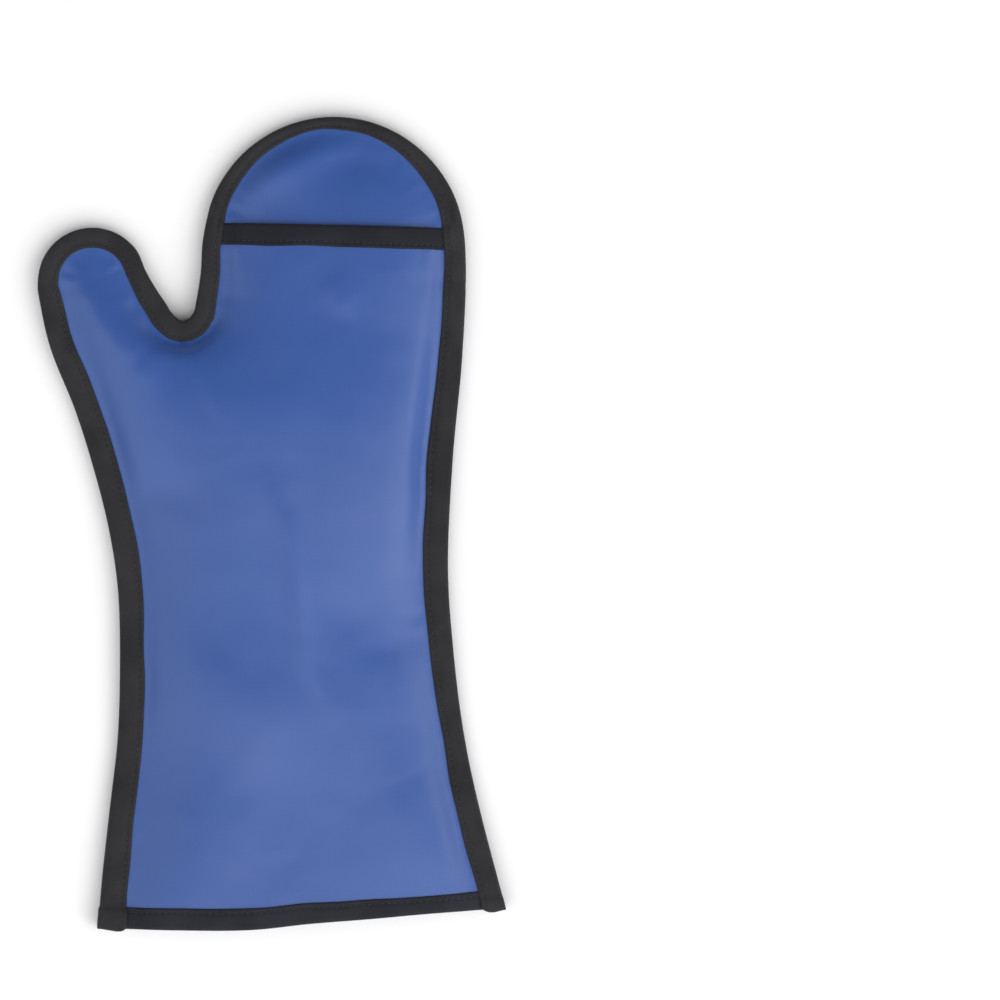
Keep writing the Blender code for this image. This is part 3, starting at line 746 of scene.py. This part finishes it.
def ramp(value, start, end):
    """0 before start, 1 after end, and a smooth rise between them."""
    share = np.clip((value - start) / (end - start), 0.0, 1.0)
    return share * share * (3.0 - 2.0 * share)


def noise_at(points, size, seed):
    """Smooth noise about -1 to 1, with features of one size."""
    return np.array([noise.noise((x / size, y / size, seed)) for x, y in points]) * NOISE_GAIN


def bumps_at(rows, points):
    """Sum of round bumps."""
    total = np.zeros(len(points))
    for row in rows:
        far = ((points - (row.x, row.y)) ** 2).sum(axis=1) / row.radius ** 2
        total += row.height * np.exp(-far)
    return total


def folds_at(rows, points):
    """Sum of dents and folds, each along one line; a long one dies out towards its ends."""
    total = np.zeros(len(points))
    for row in rows:
        start = np.array((row.x0, row.y0))
        run = np.array((row.x1 - row.x0, row.y1 - row.y0))
        share = np.clip(((points - start) @ run) / (run @ run), 0.0, 1.0)
        far = np.hypot(*(points - start - share[:, None] * run).T)
        taper = np.clip((np.hypot(*run) / row.half_width - TAPER_FROM) / TAPER_OVER, 0.0, TAPER)
        along = 1.0 - taper * (2.0 * share - 1.0) ** 2
        total += row.height * np.exp(-(far / row.half_width) ** 2) * along
    return total


knuckles = np.array([(10.0, 45.0)])
print("relief over the knuckles", round(float(folds_at(FOLDS, knuckles)[0]), 1), "mm")

# %% [markdown]
# The swell of the palm side is the film's own height, with the relief on it. A glove that is
# held by its seams is fullest in the middle, and lies flatter towards the fingertips and the
# cuff. Folds start at the seam with no depth and reach it a little way in.

# %% Work out the swell
CROWN = 13.0
CROWN_SOFTNESS = 1.25
FLATTER = 0.30               # the share of the swell that is lost at the fingertips and the cuff
FLATTER_FINGERS = (45.0, 185.0)
FLATTER_CUFF = (-60.0, -200.0)
LEAN_WARP = 3.0              # how much the noise that bends the folds also bends this lean
FOLD_REACH = 0.4             # the share of the film's height at which folds have their full depth
WARP = 4.0                   # how far noise moves a fold
WARP_SIZE = 45.0
PUCKER_EVERYWHERE = 0.05
PUCKER_REACH = 7.0
PUCKER_WAVES = (9.0, 24.0)
PUCKER_RISE = 0.06           # the share of the film's height at which puckers have theirs

Noise = namedtuple("Noise", "name size height seed")
UNEVENNESS = (
    Noise("broad", 48.0, 0.42, 1.5),
    Noise("fine", 15.0, 0.10, 5.5),
)


def puckers_at(points):
    """Small waves beside the tape, which fade inwards."""
    index, distance = nearest(clamp, points)
    forward = np.column_stack([-edge.inward[:, 1], edge.inward[:, 0]])[index]
    along = edge.length[index] + ((points - clamp[index]) * forward).sum(axis=1)
    waves = wander(along, 21, *PUCKER_WAVES)
    return (PUCKER_EVERYWHERE + bumps_at(PUCKERS, points)) * waves * np.exp(-distance / PUCKER_REACH)


def swell(points, film):
    """How far the palm side stands over its seams."""
    bend = np.column_stack([noise_at(points, WARP_SIZE, seed) for seed in (3.0, 9.0)]) * WARP
    relief = folds_at(FOLDS + CREASES, points + bend)
    for row in UNEVENNESS:
        relief += row.height * noise_at(points, row.size, row.seed)
    lean = 0.0
    for start, end in (FLATTER_FINGERS, FLATTER_CUFF):
        share = np.clip((points[:, 1] + bend[:, 1] * LEAN_WARP - start) / (end - start), 0.0, 1.0)
        lean = lean + share * share * (3.0 - share) / 2.0
    crown = CROWN * film ** CROWN_SOFTNESS * (1.0 - FLATTER * lean)
    puckers = puckers_at(points) * ramp(film, 0.0, PUCKER_RISE)
    return crown + relief * ramp(film, 0.0, FOLD_REACH) + puckers


upper_swell = swell(upper.points, film)
print("swell up to", round(upper_swell.max(), 1), "mm")

# %% [markdown]
# Height over the table is that swell on top of the seam. The seam stands a little off the
# table in places. The palm side rides up where it passes over the hood under the slit, and
# at the cuff, where the inner flaps of two hem tapes need room.

# %% Work out the heights
PANEL_WALL = 1.6
SEAM_STACK = 2 * PANEL_WALL + 0.3
SEAM_CLEAR = 1.8             # the back panel's underside in the seam, over the table
CUFF_LIFT = 1.8
CUFF_LIFT_OVER = (6.0, 90.0) # measured from the hem
RIDE_SEAM = 0.8              # at the seam beside the fingers
RIDE_SEAM_X = (-60.0, -50.0)
RIDE_SEAM_Y = (70.0, 100.0)
RIDE_TONGUE = 1.7            # over the hood's tongue
RIDE_TONGUE_Y = (88.0, 126.0)


def rim_height(points):
    """Underside of the back panel where the tape clamps it."""
    return SEAM_CLEAR + bumps_at(RIM, points)


x, y = upper.points.T
hood_level = rim_height(upper.points) + SEAM_STACK + upper_swell
seam_ride = ramp(y, *RIDE_SEAM_Y) * ramp(x, *RIDE_SEAM_X)
over_tongue = ramp(x, tongue_left - TONGUE_SIDE, tongue_left + TONGUE_LEAN)
over_tongue *= ramp(-x, -tongue_right - TONGUE_SIDE, TONGUE_LEAN - tongue_right)
over_tongue *= ramp(y, *RIDE_TONGUE_Y)
palm_level = hood_level + RIDE_SEAM * seam_ride + RIDE_TONGUE * over_tongue
palm_level += CUFF_LIFT * (1.0 - ramp(y - hem_y(x), *CUFF_LIFT_OVER))
print("palm stands", round(palm_level.max(), 1), "mm high")

# %% [markdown]
# A panel becomes a closed sheet: its upper face, the same face a wall's thickness lower
# along the normals, and a side wall round the cut edge. The Solidify modifier does this
# too, and it is written out here because the pieces share one mesh of points.

# %% Helpers for panels
SHARP_ANGLE = 55.0           # degrees between two faces, past which the edge shows


def new_piece(name, points, faces, finish):
    """A mesh object from points in millimetres, at the origin, with one material."""
    data = bpy.data.meshes.new(name)
    data.from_pydata((points * MM).tolist(), [], faces)
    data.materials.append(finish)
    return new_object(name, data)


def finish_faces(piece):
    """Turn every face outwards and shade the piece smooth."""
    mesh = bmesh.new()
    mesh.from_mesh(piece.data)
    bmesh.ops.recalc_face_normals(mesh, faces=mesh.faces)
    mesh.to_mesh(piece.data)
    mesh.free()
    piece.data.shade_smooth()
    piece.data.set_sharp_from_angle(angle=math.radians(SHARP_ANGLE))


def panel(name, sheet, keep, level, finish):
    """A closed sheet under the chosen triangles of a flat cut."""
    triangles = sheet.triangles[keep]
    used, renumbered = np.unique(triangles, return_inverse=True)
    triangles = renumbered.reshape(triangles.shape)
    top = np.column_stack([sheet.points[used], level[used]])
    a, b, c = (top[triangles[:, corner]] for corner in range(3))
    facing = np.cross(b - a, c - a)
    flip = facing[:, 2] < 0
    triangles[flip] = triangles[flip][:, ::-1]
    facing[flip] *= -1
    normal = np.zeros_like(top)
    for corner in range(3):
        np.add.at(normal, triangles[:, corner], facing)
    normal /= np.linalg.norm(normal, axis=1)[:, None]
    count = len(top)
    sides = triangles[:, [[0, 1], [1, 2], [2, 0]]].reshape(-1, 2).tolist()
    inner = {(b, a) for a, b in sides}
    rim = [(b, a, a + count, b + count) for a, b in sides if (a, b) not in inner]
    faces = triangles.tolist() + (triangles[:, ::-1] + count).tolist() + rim
    piece = new_piece(name, np.vstack([top, top - normal * PANEL_WALL]), faces, finish)
    finish_faces(piece)
    print(name, len(faces), "faces")
    return piece


def tree_of(*pieces):
    """A lookup for rays, over the pieces' faces."""
    points, faces = [], []
    for piece in pieces:
        first = len(points)
        points += [vertex.co.copy() for vertex in piece.data.vertices]
        faces += [[first + index for index in face.vertices] for face in piece.data.polygons]
    return BVHTree.FromPolygons(points, faces)


# %% [markdown]
# The palm panel runs from the hem up to the slit. The hood is the half-round pocket over
# the fingertips, and a tongue of it runs on under the palm's edge, as on the real mitt,
# so that no bare gap shows when the slit gapes.

# %% Cut the palm panel and the hood
middle = upper.points[upper.triangles].mean(axis=1)
x, y = middle.T
in_palm = (y > hem_y(x)) & (y < slit_y(x) - PANEL_INSET)
in_hood = (y > slit_y(x) - HOOD_TUCK) | inside(tongue_line, middle)
palm = panel("palm_cloth", upper, in_palm, palm_level, palm_nylon)
hood = panel("hood_cloth", upper, in_hood, hood_level, hood_nylon)

# %% [markdown]
# The back panel is the same outline without the slit. It lies flat on the table under its
# own weight and turns up only beside its seams, so its height follows from the distance to
# the nearest seam. It is a whole pattern piece, so it gets its own flat cut.

# %% Cut the back panel
BACK_SPREAD = 9.0            # how fast it comes down from its seams
BACK_FLAT = 0.75             # the share of that fall at which it lies flat
BACK_LIFT = 0.5              # how far it may stay off the table here and there
BACK_LIFT_SIZE = 55.0
CLAMP_TRIM = 10              # stations that the clamp's line stops short of the hem

back_clamp = np.vstack([clamp, inset(hem, hem.tape + CLAMP_MARGIN)])
back_cut = mesh_flat(np.vstack([cut[2:-2], hem_cut]), [(clamp[CLAMP_TRIM:-CLAMP_TRIM], False)])
x, y = back_cut.points.T
_, seam_gap = nearest(back_clamp, back_cut.points)
under_tape = ~inside(clamp, back_cut.points) | (y < hem_y(x) + hem.tape.mean() - PANEL_INSET)
settled = ramp(1.0 - np.exp(-seam_gap / BACK_SPREAD), 0.0, BACK_FLAT) * ~under_tape
lifted = BACK_LIFT * np.clip(noise_at(back_cut.points, BACK_LIFT_SIZE, 7.5), 0.0, 1.0) * settled
back_level = rim_height(back_cut.points) * (1.0 - settled) + lifted + PANEL_WALL
in_back = np.full(len(back_cut.triangles), True)
back = panel("back_cloth", back_cut, in_back, back_level, back_nylon)

# %% [markdown]
# The binding is one strip of tape folded in half over the edge and stitched through. Its
# section is swept along the line: flat flaps with a thin rounded edge, a shallow groove
# where the stitches pull it down, and a full nose round the fold. Rays dropped on the
# panels give the height of the cloth, so each flap lies on what is really under it,
# swells and all. A curve with a bevel can't do that, because its section is rigid.

# %% The section of a folded tape
Turn = namedtuple("Turn", "name from_inner rise")

FLAP = (
    Turn("inner edge, low", 0.0, 0.03),
    Turn("inner edge", 0.02, 0.40),
    Turn("inner edge, rounded", 0.24, 0.66),
    Turn("selvedge", 0.75, 0.78),
    Turn("before the stitches", 1.5, 0.78),
    Turn("beside the stitches", 1.95, 0.64),
    Turn("stitch line", 2.3, 0.50),
    Turn("past the stitches", 2.65, 0.66),
    Turn("flat of the tape", 3.3, 0.82),
    Turn("middle of the tape", 4.8, 0.86),
)
STITCH_ROW = 6               # the row of FLAP that the stitches lie in
FLAP_REACH = FLAP[-1].from_inner
NOSE = 2.6                   # how far in the round of the fold reaches
NOSE_ANGLES = np.radians(np.arange(72.0, -73.0, -18.0))
NOSE_FULLNESS = 0.75
SLOT = 1.3                   # where the inside of the fold meets the panel's cut edge
SEAT = 2.0                   # heights nearer the fold than this are taken from here
RAY_FROM = 1.0               # metres above or below the table


def cloth_height(tree, places, direction):
    """Height of the first face that a ray meets at each place, with gaps filled along."""
    heights = np.full(places.shape[:2], np.nan)
    for row, column in np.ndindex(*heights.shape):
        x, y = places[row, column] * MM
        hit = tree.ray_cast((x, y, -direction * RAY_FROM), (0.0, 0.0, direction))[0]
        if hit is not None:
            heights[row, column] = hit.z / MM
    steps = np.arange(len(heights))
    for column in heights.T:
        known = ~np.isnan(column)
        column[:] = np.interp(steps, steps[known], column[known])
    return heights


def eased(heights, reach):
    """Heights smoothed along the tape, as a stiff tape bridges a step under it."""
    if reach == 0:
        return heights
    kernel = np.hanning(2 * reach + 3)[1:-1]
    kernel /= kernel.sum()
    padded = np.pad(heights, ((reach, reach), (0, 0)), mode="edge")
    return np.column_stack([np.convolve(column, kernel, "valid") for column in padded.T])


def fold_round(line, over, under, reach):
    """Points round a folded tape at every station of its line, and round its section."""
    room = np.minimum(1.0, (line.tape - NOSE) / FLAP_REACH)
    depths = [line.tape - turn.from_inner * room for turn in FLAP] + [np.full_like(line.tape, NOSE)]
    places = np.stack([inset(line, np.maximum(depth, SEAT)) for depth in depths], axis=1)
    top = eased(cloth_height(over, places, -1), reach)
    base = eased(cloth_height(under, places, 1), reach)
    centre = (top[:, -1] + base[:, -1]) / 2
    half = (top[:, -1] - base[:, -1]) / 2 + FLAP[-1].rise
    ring = [(depths[index], top[:, index] + turn.rise) for index, turn in enumerate(FLAP)]
    for angle in NOSE_ANGLES:
        height = math.copysign(abs(math.sin(angle)) ** NOSE_FULLNESS, angle)
        ring.append((NOSE * (1 - math.cos(angle)), centre + half * height))
    ring += [(depths[index], base[:, index] - turn.rise) for index, turn in enumerate(FLAP)][::-1]
    ring += [(SLOT, base[:, -1] - FLAP[0].rise), (SLOT, top[:, -1] + FLAP[0].rise)]
    return np.stack([np.column_stack([inset(line, depth), height]) for depth, height in ring], axis=1)


print("points round a tape", 2 * len(FLAP) + len(NOSE_ANGLES) + 2)

# %% [markdown]
# Sweeping is then joining one ring of points to the next. The tape's map is laid out in
# metres: u is the length along it, v the way round its section, so that the ribs of the
# weave keep their size.

# %% Sweep a tape
def sweep(name, rings, length, finish):
    """A closed strip through rings of points, mapped in metres."""
    count, size = rings.shape[:2]
    ids = np.arange(count * size).reshape(count, size)
    after = np.roll(ids, -1, axis=1)
    quads = np.stack([ids[:-1], after[:-1], after[1:], ids[1:]], axis=-1).reshape(-1, 4)
    faces = quads.tolist() + [ids[0][::-1].tolist(), ids[-1].tolist()]
    piece = new_piece(name, rings.reshape(-1, 3), faces, finish)
    section = rings[count // 2]
    around = np.linalg.norm(np.roll(section, -1, axis=0) - section, axis=1)
    v = np.concatenate([[0.0], np.cumsum(around)])
    u0, v0 = np.meshgrid(length[:-1], v[:-1], indexing="ij")
    u1, v1 = np.meshgrid(length[1:], v[1:], indexing="ij")
    corners = [np.stack(pair, axis=-1) for pair in ((u0, v0), (u0, v1), (u1, v1), (u1, v0))]
    caps = np.zeros((2 * size, 2))
    uv = np.concatenate([np.stack(corners, axis=2).reshape(-1, 2) * MM, caps])
    piece.data.uv_layers.new(name="tape map").data.foreach_set("uv", uv.ravel())
    finish_faces(piece)
    print(name, len(faces), "faces,", round(length[-1] - length[0]), "mm long")
    return piece


# %% [markdown]
# At the cuff the edge tape's raw ends are turned under, which leaves a thicker, slightly
# wider end with a round tip. The rings near an end are moved for that, rather than a second
# piece added, so that the weave runs on over the fold.

# %% Turn the raw ends under
END_FOLDS = (12.0, 6.0)      # length that is turned under, at the thumb side and the outer side
END_EASE = 1.6               # length over which the turned part starts
END_WIDERS = (0.55, 0.15)
END_THICKER = 0.75
END_FLAP = 1.0               # what is further than this from the middle belongs to a flap
END_RUN = 4                  # stations that show which way an end points
END_PAST = 0.6               # how far the ends stand past the hem tape
END_LEVEL = 12.0             # how far back the tips are slid to stand level with the hem
END_CORNER = 1.3             # how much its corners are rounded off
END_CORNER_SIZE = 3.2
END_ROUND = 0.8              # how far the closed tip stands out
END_SHARES = (0.0, 0.12, 0.35, 0.65)
END_SHUT = 0.2               # thickness and width that the tip loses at its very end
END_SLIM = 0.05
END_SPARE = 0.3              # length of the tape's map for each ring of the tip


def turn_under(rings, length):
    """Thicken both raw ends of a tape, round their corners and set them level with the hem."""
    middle = rings.mean(axis=1, keepdims=True)
    away = rings - middle
    flat = away[:, :, :2] / np.linalg.norm(away[:, :, :2], axis=2, keepdims=True)
    over = np.sign(away[:, :, 2]) * (np.abs(away[:, :, 2]) > END_FLAP)
    turned = rings.copy()
    ends = ((0, END_RUN, -1, length), (-1, -1 - END_RUN, 0, length[-1] - length))
    for (tip, before, hem_end, from_end), fold, wider in zip(ends, END_FOLDS, END_WIDERS):
        share = 1.0 - ramp(from_end, fold - END_EASE, fold)
        turned[:, :, 2] += over * END_THICKER * share[:, None]
        turned[:, :, :2] += flat * (wider * share)[:, None, None]
        run = (rings[tip] - rings[before]).mean(axis=0)[:2]
        run /= np.linalg.norm(run)
        short = (hem.points[hem_end, 1] - END_PAST - turned[tip, :, 1]) / run[1]
        depth = (turned[tip, :, :2] - turned[tip, :, :2].mean(axis=0)) @ edge.inward[tip]
        from_side = depth.max() - np.abs(depth)
        short -= END_CORNER * np.clip(1.0 - from_side / END_CORNER_SIZE, 0.0, 1.0) ** 2
        slide = 1.0 - ramp(from_end, 0.0, END_LEVEL)
        turned[:, :, :2] += slide[:, None, None] * short[None, :, None] * run
    turned[:, :, 2] = np.maximum(turned[:, :, 2], 0.0)
    return turned


def round_tips(rings, length):
    """Add narrower rings at both ends, so that they close like a turned-under fold."""
    closed = []
    for first, second in ((rings[0], rings[1]), (rings[-1], rings[-2])):
        middle = first.mean(axis=0)
        step = (first - second) / np.linalg.norm((first - second).mean(axis=0))
        tips = []
        for share in END_SHARES:
            thin = math.sqrt(1.0 - (1.0 - share) ** 2) * (1.0 - END_SHUT) + END_SHUT
            slim = 1.0 - END_SLIM * (1.0 - share) ** 2
            tip = middle + (first - middle) * (slim, slim, thin)
            tips.append(tip + step * (1.0 - share) * END_ROUND)
        closed.append(tips)
    rings = np.concatenate([np.array(closed[0]), rings, np.array(closed[1][::-1])])
    spare = np.arange(len(END_SHARES)) * END_SPARE
    before = length[0] - spare[::-1] - END_SPARE
    return rings, np.concatenate([before, length, length[-1] + spare + END_SPARE])


print("raw ends turned under over", END_FOLDS, "mm")

# %% [markdown]
# The cross tapes come first: the slit tape over the palm's upper edge, and a hem tape over
# each panel's edge at the cuff. The edge tape is sewn on last and goes over their ends,
# so its rays are dropped on them too.

# %% Bind the edges
BRIDGE = 2                   # stations over which the edge tape bridges a step


def bind(name, line, cloth, finish):
    """A cross tape on the edge of one panel: its rings of points and its piece."""
    rings = fold_round(line, tree_of(cloth), tree_of(cloth), 0)
    return rings, sweep(name, rings, line.length, finish)


slit_rings, slit_binding = bind("slit_tape_fold", slit, palm, slit_tape)
palm_hem_rings, palm_cuff_binding = bind("palm_cuff_tape_fold", hem, palm, cuff_tape)
back_hem_rings, back_cuff_binding = bind("back_cuff_tape_fold", hem, back, cuff_tape)
over = tree_of(palm, hood, slit_binding, palm_cuff_binding)
under = tree_of(back, back_cuff_binding)
edge_rings = turn_under(fold_round(edge, over, under, BRIDGE), edge.length)
edge_sweep, edge_run = round_tips(edge_rings, edge.length)
edge_binding = sweep("edge_tape_fold", edge_sweep, edge_run, edge_tape)

# %% [markdown]
# Every tape is held by a row of lockstitches through all layers. Each stitch is the same
# short piece of thread, so Geometry Nodes place them: a line is cut into even steps and a
# stitch is set on each, turned along the line, with a little random turn and size, as a
# walking-foot machine leaves. The nodes end in plain mesh with the thread's material.

# %% Build the stitching nodes
STITCH_PITCH = 3.1 * MM
STITCH_LENGTH = 2.5 * MM
THREAD_WIDTH = 0.5 * MM
STITCH_YAW = 0.06            # how far a stitch may turn off its line, in radians
STITCH_SIZES = (0.92, 1.06)  # the smallest and the largest, as shares of the usual size


def stitching_tree():
    """Geometry Nodes that sew along the edges of a mesh line."""
    tree = bpy.data.node_groups.new("row of stitches", "GeometryNodeTree")
    sockets = [("Line", "Geometry")]
    sockets += [(name, "Float") for name in ("Pitch", "Stitch length", "Thread width", "Turn")]
    for name, kind in sockets + [("Seed", "Int"), ("Thread", "Material")]:
        tree.interface.new_socket(name, in_out="INPUT", socket_type="NodeSocket" + kind)
    tree.interface.new_socket("Stitches", in_out="OUTPUT", socket_type="NodeSocketGeometry")
    given = add_node(tree, "NodeGroupInput").outputs
    curve = add_node(tree, "GeometryNodeMeshToCurve", {"Mesh": given["Line"]})
    steps = add_node(tree, "GeometryNodeResampleCurve", {
        "Curve": curve.outputs[0], "Length": given["Pitch"]}, mode="LENGTH")
    ball = add_node(tree, "GeometryNodeMeshUVSphere", {"Segments": 8, "Rings": 5, "Radius": 0.5})
    size = add_node(tree, "ShaderNodeCombineXYZ", {
        "X": given["Stitch length"], "Y": given["Thread width"], "Z": given["Thread width"]})
    stitch = add_node(tree, "GeometryNodeTransform", {
        "Geometry": ball.outputs["Mesh"], "Scale": size.outputs[0]})
    tangent = add_node(tree, "GeometryNodeInputTangent")
    along = add_node(tree, "FunctionNodeAlignRotationToVector", {"Vector": tangent.outputs[0]}, axis="X")
    other_way = add_node(tree, "ShaderNodeMath", {0: given["Turn"], 1: -1.0}, operation="MULTIPLY")
    lean = add_node(tree, "FunctionNodeRandomValue", {
        "Min": other_way.outputs[0], "Max": given["Turn"], "Seed": given["Seed"]})
    yaw = add_node(tree, "ShaderNodeCombineXYZ", {"Z": lean.outputs["Value"]})
    turned = add_node(tree, "FunctionNodeRotateRotation", {
        "Rotation": along.outputs[0], "Rotate By": yaw.outputs[0]}, rotation_space="LOCAL")
    spread = add_node(tree, "FunctionNodeRandomValue", {
        "Min": STITCH_SIZES[0], "Max": STITCH_SIZES[1], "Seed": given["Seed"]})
    sewn = add_node(tree, "GeometryNodeInstanceOnPoints", {
        "Points": steps.outputs[0], "Instance": stitch.outputs[0], "Rotation": turned.outputs[0],
        "Scale": spread.outputs["Value"]})
    real = add_node(tree, "GeometryNodeRealizeInstances", {"Geometry": sewn.outputs[0]})
    smooth = add_node(tree, "GeometryNodeSetShadeSmooth", {"Geometry": real.outputs[0]})
    coloured = add_node(tree, "GeometryNodeSetMaterial", {
        "Geometry": smooth.outputs[0], "Material": given["Thread"]})
    add_node(tree, "NodeGroupOutput", {"Stitches": coloured.outputs[0]})
    return tree


stitching = stitching_tree()
print("stitching nodes", len(stitching.nodes))

# %% [markdown]
# A row of stitches follows the groove that the section left in the tape, so its line is
# one column of the swept rings. The result is copied to a plain mesh, and the modifier goes.

# %% Sew the tapes
STITCH_SINK = 0.06           # how deep the thread beds into the groove
KEEP_IN = 2                  # stations at each end that have no stitch

ABOVE, BELOW = 1, -1         # the two flaps of a tape
GROOVES = {ABOVE: STITCH_ROW, BELOW: 2 * len(FLAP) + len(NOSE_ANGLES) - 1 - STITCH_ROW}


def groove(rings, side):
    """The line of the stitch groove, on the upper flap or the lower one."""
    radius = THREAD_WIDTH / MM / 2
    line = rings[KEEP_IN:-KEEP_IN, GROOVES[side]] + (0.0, 0.0, side * (radius - STITCH_SINK))
    line[:, 2] = np.maximum(line[:, 2], radius)
    return line


def sew(name, rings, sides, seed):
    """Stitches along the grooves of a tape."""
    rows = [groove(rings, side) for side in sides]
    joints, first = [], 0
    for row in rows:
        joints += [(first + step, first + step + 1) for step in range(len(row) - 1)]
        first += len(row)
    data = bpy.data.meshes.new(name)
    data.from_pydata((np.concatenate(rows) * MM).tolist(), joints, [])
    guide = new_object(name + "_line", data)
    nodes = guide.modifiers.new("stitches", "NODES")
    nodes.node_group = stitching
    settings = {"Pitch": STITCH_PITCH, "Stitch length": STITCH_LENGTH, "Thread width": THREAD_WIDTH,
                "Turn": STITCH_YAW, "Seed": seed, "Thread": thread}
    for item in stitching.interface.items_tree:
        if item.name in settings:
            nodes[item.identifier] = settings[item.name]
    evaluated = guide.evaluated_get(bpy.context.evaluated_depsgraph_get())
    made = bpy.data.meshes.new_from_object(evaluated)
    guide.modifiers.remove(nodes)
    bpy.data.objects.remove(guide)
    print(name, len(made.polygons), "faces")
    return new_object(name, made)


edge_stitches = sew("edge_stitches", edge_rings, (ABOVE, BELOW), seed=1)
slit_stitches = sew("slit_stitches", slit_rings, (ABOVE,), seed=2)
palm_cuff_stitches = sew("palm_cuff_stitches", palm_hem_rings, (ABOVE, BELOW), seed=3)
back_cuff_stitches = sew("back_cuff_stitches", back_hem_rings, (ABOVE, BELOW), seed=4)

# %% [markdown]
# The panels are cut from flat sheet, so their area is that of the flat mesh. A tape is a
# strip 27 mm wide.


def flat_size(sheet, keep):
    """Width, length and area of the chosen triangles of a flat cut, in metres."""
    a, b, c = (sheet.points[sheet.triangles[keep][:, corner]] for corner in range(3))
    area = np.abs((b - a)[:, 0] * (c - a)[:, 1] - (b - a)[:, 1] * (c - a)[:, 0]).sum() / 2
    wide, long = np.ptp(np.vstack([a, b, c]), axis=0) * MM
    return (float(wide), float(long)), float(area * MM * MM)


CLOTH = (
    (palm, "palm_panel", "palm_nylon", flat_size(upper, in_palm), ["back_panel"]),
    (hood, "fingertip_hood", "hood_nylon", flat_size(upper, in_hood), ["back_panel"]),
    (back, "back_panel", "back_nylon", flat_size(back_cut, in_back), []),
)
STRIPS = (
    (edge_binding, "edge_binding", "edge_tape", edge, edge_stitches, ["back_panel"]),
    (slit_binding, "slit_binding", "slit_tape", slit, slit_stitches, ["palm_panel"]),
    (palm_cuff_binding, "palm_cuff_binding", "cuff_tape", hem, palm_cuff_stitches, ["palm_panel"]),
    (back_cuff_binding, "back_cuff_binding", "cuff_tape", hem, back_cuff_stitches, ["back_panel"]),
)
for piece, node, slot, (flat, area), base in CLOTH:
    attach(piece, "root")
    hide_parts(node)
    print(node, "cut", [round(side, 3) for side in flat], "area", round(area, 4))
for piece, node, slot, line, stitches, base in STRIPS:
    for part in (piece, stitches):
        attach(part, "root")
    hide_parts(node)
